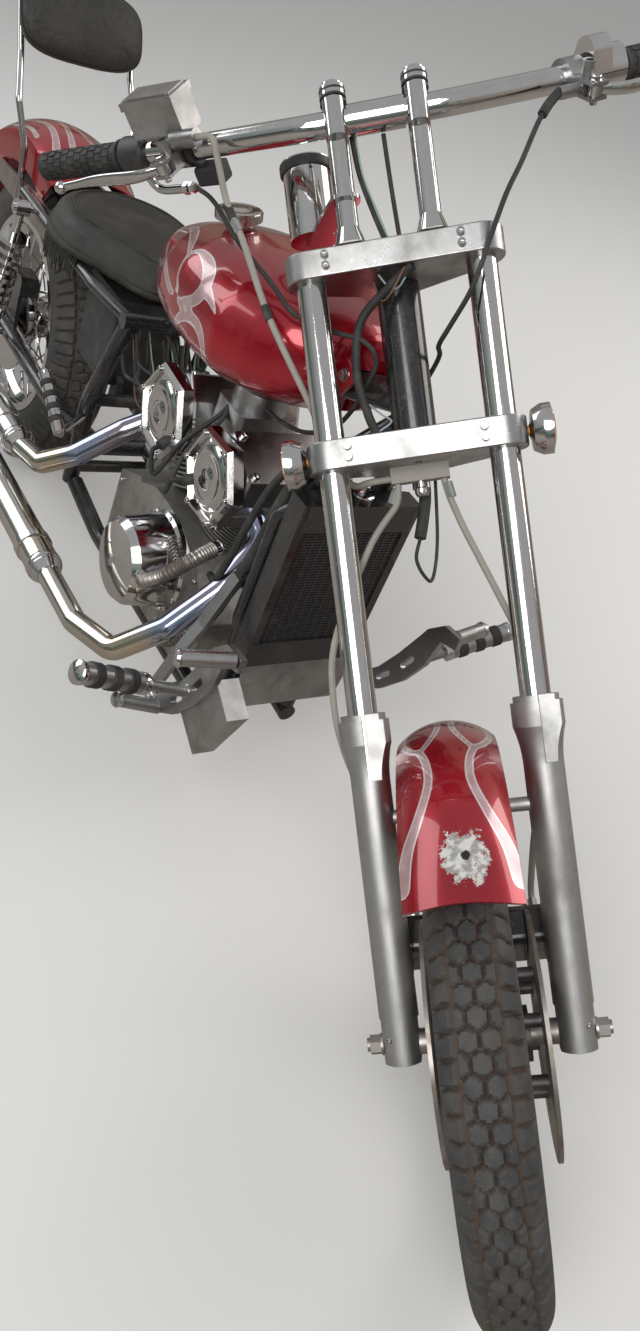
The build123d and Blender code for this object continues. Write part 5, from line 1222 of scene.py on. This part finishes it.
pipes("cable_boots", "rubber", FORK, "steering", (
    ([(-0.7, 230, 1172.8), (6, 216, 1158), (11, 205, 1143)], 6.4),
    ([(-22, -211, 1117), (-20, -204, 1095)], 6.0),
    ([(-16, -176, 972), (-15.5, -171, 952)], 6.0),
), 14)
ferrules = Shape(FORK)
for start, end in (
    ((-20, -203, 1092), (-18, -197, 1076)), ((-22, -33.5, 708), (-23, -42, 690)),
    ((-22, 33.5, 708), (-22, 37, 688)), ((-92, -80, 127), (-104, -80, 143)),
    ((-92, 80, 127), (-104, 80, 143)),
):
    ferrules.pipe([start, end], 6.3, 8)
ferrules.turned((-22, 0, 714), -UP, [(6, 0), (6, 8), (9, 10), (9.5, 15), (7, 20), (0, 22)], 20)
ferrules.piece("hose_ferrules", "chrome", "steering")
pipes("steering_loom", "rubber", FORK, "steering", (
    ([(24, 22, 978), (6, -10, 962), (-14, -52, 930), (-24, -66, 870), (-26, -58, 812),
      (-12, -48, 779)], 6.0),
    ([(2, -35, 1164), (-8, -31, 1119), (-10, -20, 1071), (-4, -6, 1019)], 3.4),
    ([(2, 6, 1160), (-9, 8, 1092), (-6, 11, 1019)], 3.0),
    ([(-44, 4, 708), (-42, 2, 690), (-38, -4, 664), (-34, -10, 642)], 8.0),
    ([(-34, -10, 642), (-30, -18, 615), (-42, -10, 592), (-60, 0, 590), (-66, 12, 640),
      (-62, 20, 732)], 2.4),
))
for name, finish, line in (
    ("wire_blue", "wire_blue", [(20, 18, 975), (10, 2, 958), (4, -10, 962), (12, -22, 977)]),
    ("wire_brown", "wire_brown", [(26, 12, 976), (18, -8, 950), (0, -22, 948), (-6, -30, 976)]),
    ("wire_green", "wire_green", [(4, -30, 1162), (-3, -26, 1112), (-5, -14, 1066), (2, -2, 1019)]),
    ("wire_white", "wire_blue", [(-30, -60, 830), (-14, -40, 806), (-2, -28, 792), (6, -44, 780)]),
):
    pipes(name, finish, FORK, "steering", ((line, 1.3),), 6)


# Side lamps, each on a stalk at the lower tree
LAMP_HEIGHT = 754
LAMP_SEAT = 147.1
LAMP_SHELL = [
    (7, -5), (13, -1.5), (26, -0.6), (31.8, 10.5), (32.2, 12), (32.2, 23), (28.6, 23.4),
    (28.4, 21.8),
]
LAMP_GLASS = [(28.3, 21.9), (27, 24.2), (20, 26.6), (10, 27.6), (0, 27.9)]
lamp_shells = Shape(FORK)
lamp_glasses = Shape(FORK)
for side in (-1, 1):
    seat = Vector((0, side * LAMP_SEAT, LAMP_HEIGHT))
    out = LEFT * side
    lamp_shells.turned(seat, out, LAMP_SHELL, 40)
    lamp_glasses.turned(seat, out, LAMP_GLASS, 40)
    for angle in (0.4, 2.5, 4.6):
        spot = seat + out * 22.6 + (AHEAD * math.cos(angle) + UP * math.sin(angle)) * 30.4
        lamp_shells.cap_screw(spot, out, 2.0, 1.6)
lamp_shells.piece("lamp_shells", "chrome", "steering")
lamp_glasses.piece("lamp_glasses", "amber_lens", "steering")

# Gauge, with plain marks and a needle
GAUGE_TOP = Vector((-92, -106, 1186))
GAUGE_RIM = [(35.5, 0), (36.6, 2), (36.6, 12), (34, 15), (31, 15), (31, 13)]
turnings(
    "gauge_rim", "black_plastic", FORK, "steering", [(GAUGE_TOP - UP * 14, UP, GAUGE_RIM)], 40
)
turnings(
    "gauge_face", "gauge_dial", FORK, "steering",
    [(GAUGE_TOP - UP * 0.2, UP, [(31, 0), (31, 0.6), (0, 0.6)])], 40,
)
dial = Shape(FORK)
marks = [
    (math.radians(225 - step * 11.25), 26, 0.7, (3.5 if step % 4 else 6, 0.9, 0.4))
    for step in range(25)
]
for turn, reach, height, size in [*marks, (3.9, 9, 1.3, (24, 1.4, 0.6))]:
    out = AHEAD * math.cos(turn) + LEFT * math.sin(turn)
    dial.block(GAUGE_TOP + out * reach + UP * height, size, (out, UP.cross(out), UP))
dial.turned(GAUGE_TOP + UP * 0.6, UP, [(3, 0), (3, 1.6), (0, 2)], 16)
dial.piece("gauge_marks", "pale_plastic", "steering")


# Fork, front wheel and calipers
SLIDER_SIDE = 110
fork_bolts = Shape(FORK)
for side in (-1, 1):
    out = LEFT * side
    for height in (747, 761, 992, 1006):
        fork_bolts.cap_screw((33, side * 86, height), AHEAD)
    fork_bolts.bolt((-26, side * SLIDER_SIDE, 990), -AHEAD, 9)
    cap = [(17, 0), (17, 2), (10, 3), (10, 5), (0, 5)]
    fork_bolts.turned((0, side * SLIDER_SIDE, 1019), UP, cap, 6)
    fork_bolts.cap_screw((20, side * 122, 10), (0.6, 0.8 * side, 0), 3.6, 4)
    for x, z in ((-58, 122), (-50, 92)):
        fork_bolts.bolt((x, side * 94, z), out, 11, 7)
    for x in (-20, 20):
        fork_bolts.bolt((x, FRONT_OFFSET + side * 62.5, 300), out, 8, 4)
    for spot, _ in on_circle((0, side * 70.1, 0), AHEAD, UP, 74, 6, 0.2):
        fork_bolts.cap_screw(spot, out, 6, 4)
    fork_bolts.bolt((RISER_AHEAD, side * RISER_SIDE, 1225), UP, 12, 6)
fork_bolts.turned((-50, 0, 1016), UP, [(24, 0), (24, 3), (19, 4), (19, 15), (15, 18), (0, 18)], 6)
fork_bolts.piece("fork_bolts", "chrome", "steering")
turnings("fender_rubbers", "rubber", FORK, "steering", [
    ((0, FRONT_OFFSET + side * 62.4, 287), LEFT * side, [(14, 0), (14, 5), (10, 6)])
    for side in (-1, 1)
])


# Engine: each bank of cylinder and head leans from the crank
CRANK = Vector((930, 0, 375))
BANK_LEANS = (-26, 26)
HEAD_FACE = 219.1
COVER_RING = [(52, 0), (52, 3), (44, 7), (40, 7.5), (36, 5.5), (14, 5.5), (12, 7), (0, 7)]


def bank(lean, distance, left=0.0, along=0.0):
    """A spot on a bank, with the bank's outward direction and the one across it."""
    tilt = math.radians(lean)
    out = Vector((math.sin(tilt), 0, math.cos(tilt)))
    across = Vector((math.cos(tilt), 0, -math.sin(tilt)))
    return CRANK + out * distance + across * along + LEFT * left, out, across


engine_bolts = Shape(BODY)
cover_trim = Shape(BODY)
head_fins = Shape(BODY)
for lean in BANK_LEANS:
    for side in (-1, 1):
        face, out, across = bank(lean, HEAD_FACE, side * 118.1)
        for spot, _ in on_circle(face, out, across, 69, 6):
            engine_bolts.cap_screw(spot, LEFT * side, 4.6, 4)
        core = bank(lean, HEAD_FACE, side * 110.2)[0]
        cover_trim.turned(core, LEFT * side, COVER_RING, 48)
        for spot, ray in on_circle(core + LEFT * side * 0.6, out, across, 60, 12):
            cover_trim.block(spot, (9, 3, 1.4), (ray, LEFT.cross(ray), LEFT))
        for along in (-36, 36):
            engine_bolts.cap_screw(bank(lean, 284.5, side * 74, along)[0], out, 6.5)
        for along in (-30, 30):
            spot = bank(lean, 262, side * 92.3, along)[0]
            engine_bolts.cap_screw(spot, LEFT * side, 6, 4)
    for fin in range(5):
        head_fins.block(bank(lean, 184.5 + fin * 7.5)[0], (2.6, 194, 134), (out, LEFT, across))
for centre, side, ring in (((962, -114.2, 363), -1, 84.2), ((930, 114.2, 345), 1, 92)):
    for spot, _ in on_circle(centre, AHEAD, UP, ring, 10, math.pi / 10):
        engine_bolts.cap_screw(spot, LEFT * side, 3.6, 4.5)
for x, z in (
    (760, 250), (820, 242), (1080, 246), (1118, 290), (1120, 345), (755, 385), (1072, 402),
):
    for side in (-1, 1):
        engine_bolts.cap_screw((x, side * 105.1, z), LEFT * side, 4.5)
engine_bolts.piece("engine_bolts", "chrome", "frame")
cover_trim.piece("head_cover_trim", "chrome", "frame")
head_fins.piece("head_fins", "cast_aluminium", "frame", smooth=False)

# Radiator and hoses
RADIATOR_SIDE = -8
fins = Shape(BODY)
for row in range(41):
    for x in (1260.4, 1231.6):
        fins.block((x, RADIATOR_SIDE, 441 + row * 4.95), (4.4, 176, 1.3))
for column in range(11):
    fins.block((1246, RADIATOR_SIDE - 80 + column * 16, 539), (33, 2.2, 200))
fins.piece("radiator_fins", "black_paint", "frame", smooth=False)
turnings(
    "radiator_cap", "chrome", BODY, "frame",
    [((1246, RADIATOR_SIDE, 698), UP, [(18, 0), (19, 1), (19, 4), (15, 6), (0, 6)])], 12,
)


def ringed(run):
    """The radius of a corrugated hose."""
    return 12.0 + 0.9 * math.sin(math.tau * run / 4.6)


pipes("ringed_hoses", "steel", BODY, "frame", (
    ([(1030, -180, 384), (1050, -184, 392), (1074, -173, 420), (1086, -148, 450),
      (1083, -118, 467), (1072, -84, 472)], ringed),
    ([(1026, -105.5, 272), (1030, -134, 268), (1056, -152, 276), (1092, -146, 298),
      (1112, -124, 318), (1112, -105.5, 330)], ringed),
), 16, 1.2)
pipes("rubber_hoses", "rubber", BODY, "frame", (
    ([(1212, -64, 722), (1204, -92, 690), (1200, -104, 640), (1194, -108, 570), (1184, -116, 500),
      (1172, -122, 430), (1150, -124, 380), (1112, -110, 366)], 9.0),
    ([(1188, -60, 742), (1168, -96, 668), (1160, -112, 590), (1152, -116, 520),
      (1136, -118, 460), (1100, -104, 440)], 6.0),
), 14, 5)
CLAMP = [(13.6, 0), (13.6, 9), (12, 9.4)]
turnings("hose_clamps", "chrome", BODY, "frame", (
    ((1036, -181, 386), (18, -4, 6), CLAMP), ((1076, -98, 470), (-6, 18, 2), CLAMP),
    ((1027, -114, 271), -LEFT, CLAMP), ((1112, -114, 326), -LEFT, CLAMP),
), 20)

# Leads from each head's plug to below the tank
leads = Shape(BODY)
for away in (1, -1):
    lean, along = 26 * away, -22 * away
    root = bank(lean, 184, -100, along)[0]
    cap_end = bank(lean, 166, -126, along * 1.2)[0]
    leads.pipe([root, cap_end], 9.5, 14)
    line = [
        cap_end, cap_end + Vector((-8 * away, -16, -6)), (930 + 24 * away, -136, 498),
        (930 + 12 * away, -112, 566), (930 + 6 * away, -64, 622), (926, -50, 648),
    ]
    leads.pipe(smooth_line(line), 4.0)
leads.piece("plug_leads", "rubber", "frame")

# Wiring behind the engine: loose runs that sag between the battery box and the cylinders
random.seed(23)
harness = {"rubber": [], "wire_brown": [], "wire_green": []}
for count in range(26):
    kind = "rubber" if count % 5 else ("wire_brown" if count % 2 else "wire_green")
    start = (random.uniform(562, 610), random.uniform(-84, 60), random.uniform(560, 622))
    end = (random.uniform(700, 738), random.uniform(-84, 60), random.uniform(455, 560))
    middle = []
    for share, sag in ((0.3, random.uniform(5, 60)), (0.65, random.uniform(-30, 50))):
        x = start[0] + (end[0] - start[0]) * share
        z = start[2] + (end[2] - start[2]) * share - sag
        middle.append((x, start[1] + random.uniform(-10, 10), z))
    radius = random.uniform(2.2, 4.5) if kind == "rubber" else 1.3
    harness[kind].append(([start, *middle, end], radius))
for kind, rows in harness.items():
    pipes("harness_" + kind, kind, BODY, "frame", rows, 8, 8)

spring = Shape(BODY)
SPRING_RADIUS = 8
coil = []
for step in range(96):
    y = -128 + SPRING_RADIUS * math.cos(0.62 * step)
    z = 437 - 0.3 * step + SPRING_RADIUS * math.sin(0.62 * step)
    coil.append((1002 + 0.52 * step, y, z))
spring.pipe(coil, 1.5, 6)
spring.piece("return_spring", "steel", "frame")


# Tank trim, foot controls, pegs and pipes
CAP_AXIS = Vector((-0.14, -0.2, 1)).normalized()
CAP_BASE = Vector((810.5, -62, 893.7)) + CAP_AXIS * 13
CAP_TOP = [(35, 0), (35, 1.2), (31, 2.6), (29, 2.0), (12, 2.0), (10, 3.4), (0, 3.4)]
tank_trim = Shape(BODY)
tank_trim.turned(CAP_BASE, CAP_AXIS, CAP_TOP, 40)
_, first, second = across_of(CAP_AXIS)
for spot, out in on_circle(CAP_BASE - CAP_AXIS * 6.5, first, second, 36, 44):
    tank_trim.block(spot, (1.6, 2.4, 11), (out, out.cross(CAP_AXIS), CAP_AXIS))
for side in (-1, 1):
    tank_trim.bolt((1165, side * 51, 836), LEFT * side, 14, 7)
tank_trim.piece("tank_trim", "chrome", "frame")

PEG_END = [(16.2, -8), (17, -6), (17, 0), (13, 3), (0, 4)]
PEG_COLLAR = [(11, -4), (16.6, -2), (16.6, 10), (15, 12)]
PEG_RUBBER = [(16.2, -9), (18, -7), (18, 7), (16.2, 9)]
BACK_PEG_RUBBER = [(12.2, -6), (14, -4), (14, 4), (12.2, 6)]
control_trim = Shape(BODY)
control_rubber = Shape(BODY)
for side in (-1, 1):
    root, tip = Vector((1277, side * 203, 365)), Vector((1299, side * 400, 449))
    way = (tip - root).normalized()
    knuckle = root.lerp(tip, 0.42)
    control_trim.turned(tip, way, PEG_END, 28)
    control_trim.turned(knuckle, way, PEG_COLLAR, 28)
    for share in (0.24, 0.50, 0.76):
        control_rubber.turned(knuckle.lerp(tip, share), way, PEG_RUBBER, 28)
    for x, z, width in ((1199, 277, 15), (1277, 365, 17), (1352, 500, 15)):
        control_trim.bolt((x, side * 205.2, z), LEFT * side, width, 8)
    for (x, y, z), (ahead, left, up), cap in (
        ((1335, 280, 494), (-0.26, 0.96, -0.07), [(13, -3), (14, 0), (12, 4), (0, 5)]),
        ((1228, 282, 312), (0.07, 0.91, 0.39), [(12, -3), (13, 0), (11, 4), (0, 5)]),
    ):
        control_trim.turned((x, side * y, z), (ahead, side * left, up), cap, 24)
    hinge, end = Vector((655, side * 196, 413)), Vector((551, side * 200, 474))
    way = (end - hinge).normalized()
    for share in (0.22, 0.42, 0.62, 0.82):
        control_rubber.turned(hinge.lerp(end, share), way, BACK_PEG_RUBBER, 24)
    control_trim.turned(end, way, [(12.4, -5), (13.4, 0), (10, 4), (0, 5)], 24)
control_trim.piece("control_trim", "chrome", "frame")
control_rubber.piece("peg_rubbers", "rubber", "frame")

bore_shade_discs = Shape(BODY)
pipe_trim = Shape(BODY)
PIPES = (
    (Vector((860, -262, 266)), Vector((-60, -272, 256))),
    (Vector((560, -226, 328)), Vector((-60, -240, 318))),
)
for start, end in PIPES:
    way = (end - start).normalized()
    # A thin black disc at each pipe's open end is painted shade that stands in for the dark bore.
    bore_shade_discs.turned(end + way * 0.2, way, [(26.5, 0), (26.5, 0.5), (0, 0.5)], 32)
    for spot, profile in (
        (end, [(30.2, -10), (31, -8), (31, 1), (27, 1.4), (26.6, 0.4)]),
        (start, [(22, -16), (30.6, 4), (31.6, 6), (31.6, 16), (30.2, 18)]),
        (start, [(31, 60), (33, 61), (33, 76), (31, 77)]),
    ):
        pipe_trim.turned(spot, way, profile, 40)
bore_shade_discs.piece("painted_bore_shade", "black_plastic", "frame")
pipe_trim.piece("pipe_clamps", "chrome", "frame")


# Floor, lamps and world
FLOOR_SIZE = 60.0
FLOOR_COLOUR = (0.80, 0.80, 0.79)
FLOOR_MIRRORED = (0.32, 0.29, 0.26)
SKY = [
    (0.0, (0.18, 0.16, 0.14)), (0.47, (0.26, 0.23, 0.21)), (0.53, (0.60, 0.60, 0.60)),
    (0.68, (0.82, 0.83, 0.85)), (0.85, (0.95, 0.95, 0.95)), (1.0, (0.90, 0.92, 0.94)),
]

SKY_STRENGTH = 0.46
SKY_SEEN = (1.25, 1.25, 1.23)


def make_stage():
    mesh = bpy.data.meshes.new("floor")
    half = FLOOR_SIZE / 2
    corners = [(-half, -half, 0), (half, -half, 0), (half, half, 0), (-half, half, 0)]
    mesh.from_pydata(corners, [], [(0, 1, 2, 3)])
    floor = bpy.data.objects.new("floor", mesh)
    bpy.context.scene.collection.objects.link(floor)
    paint = Paint("floor")
    cloud = paint.noise(1.2, 3)
    shade = paint.mix(cloud * 0.2, FLOOR_COLOUR, tuple(part * 0.93 for part in FLOOR_COLOUR))
    seen = paint.node("ShaderNodeLightPath", output="Is Camera Ray")
    mesh.materials.append(paint.finish(paint.mix(seen, FLOOR_MIRRORED, shade), 0.7))


def lamp(name, spot, target, size, power, colour=(1, 1, 1)):
    data = bpy.data.lights.new(name, "AREA")
    data.shape = "RECTANGLE"
    data.size, data.size_y = size
    data.energy = power
    data.color = colour
    light = bpy.data.objects.new(name, data)
    light.location = spot
    light.rotation_euler = (Vector(target) - Vector(spot)).to_track_quat("-Z", "Y").to_euler()
    bpy.context.scene.collection.objects.link(light)


def make_light():
    lamp("key", (2.2, -2.6, 3.4), (0.1, 0, 0.5), (2.6, 2.6), 98, (1.0, 0.98, 0.95))
    lamp("fill", (-2.8, -2.0, 2.2), (0, 0, 0.4), (2.8, 2.0), 44, (0.96, 0.98, 1.0))
    lamp("back", (0.4, 3.2, 2.6), (0, 0, 0.6), (3.0, 1.8), 54, (1.0, 0.96, 0.92))
    world = bpy.data.worlds.new("world")
    world.use_nodes = True
    sky = Nodes(world.node_tree)
    aim = sky.node("ShaderNodeTexCoord", output="Generated")
    height = sky.node("ShaderNodeSeparateXYZ", None, {0: aim}, 2)
    colour = sky.node("ShaderNodeValToRGB", {"ramp": SKY}, {0: height * 0.5 + 0.5})
    side = sky.node("ShaderNodeSeparateXYZ", None, {0: aim}, 1)
    wall = sky.mix(sky.step(side, -0.5, 0.5), (0.62, 0.78, 0.70), (1.0, 0.80, 0.62))
    low = 1.0 - sky.step(height, 0.1, 0.6)
    colour = sky.node(
        "ShaderNodeMix", {"data_type": "RGBA", "blend_type": "MULTIPLY"}, {0: low, 6: colour, 7: wall}, 2
    )
    post = sky.node("ShaderNodeTexNoise", None, {"Vector": aim, "Scale": 4.2, "Detail": 1.0})
    dark = sky.step(post, 0.53, 0.58) * low * 0.85
    colour = sky.mix(dark, colour, (0.05, 0.045, 0.04))
    seen = sky.node("ShaderNodeLightPath", output="Is Camera Ray")
    colour = sky.mix(seen, colour, SKY_SEEN)
    glow = sky.node("ShaderNodeBackground", None, {0: colour, 1: SKY_STRENGTH})
    end = sky.tree.nodes.new("ShaderNodeOutputWorld")
    sky.feed(end.inputs[0], glow)
    bpy.context.scene.world = world


make_stage()
make_light()
bpy.context.scene.view_settings.view_transform = "Standard"
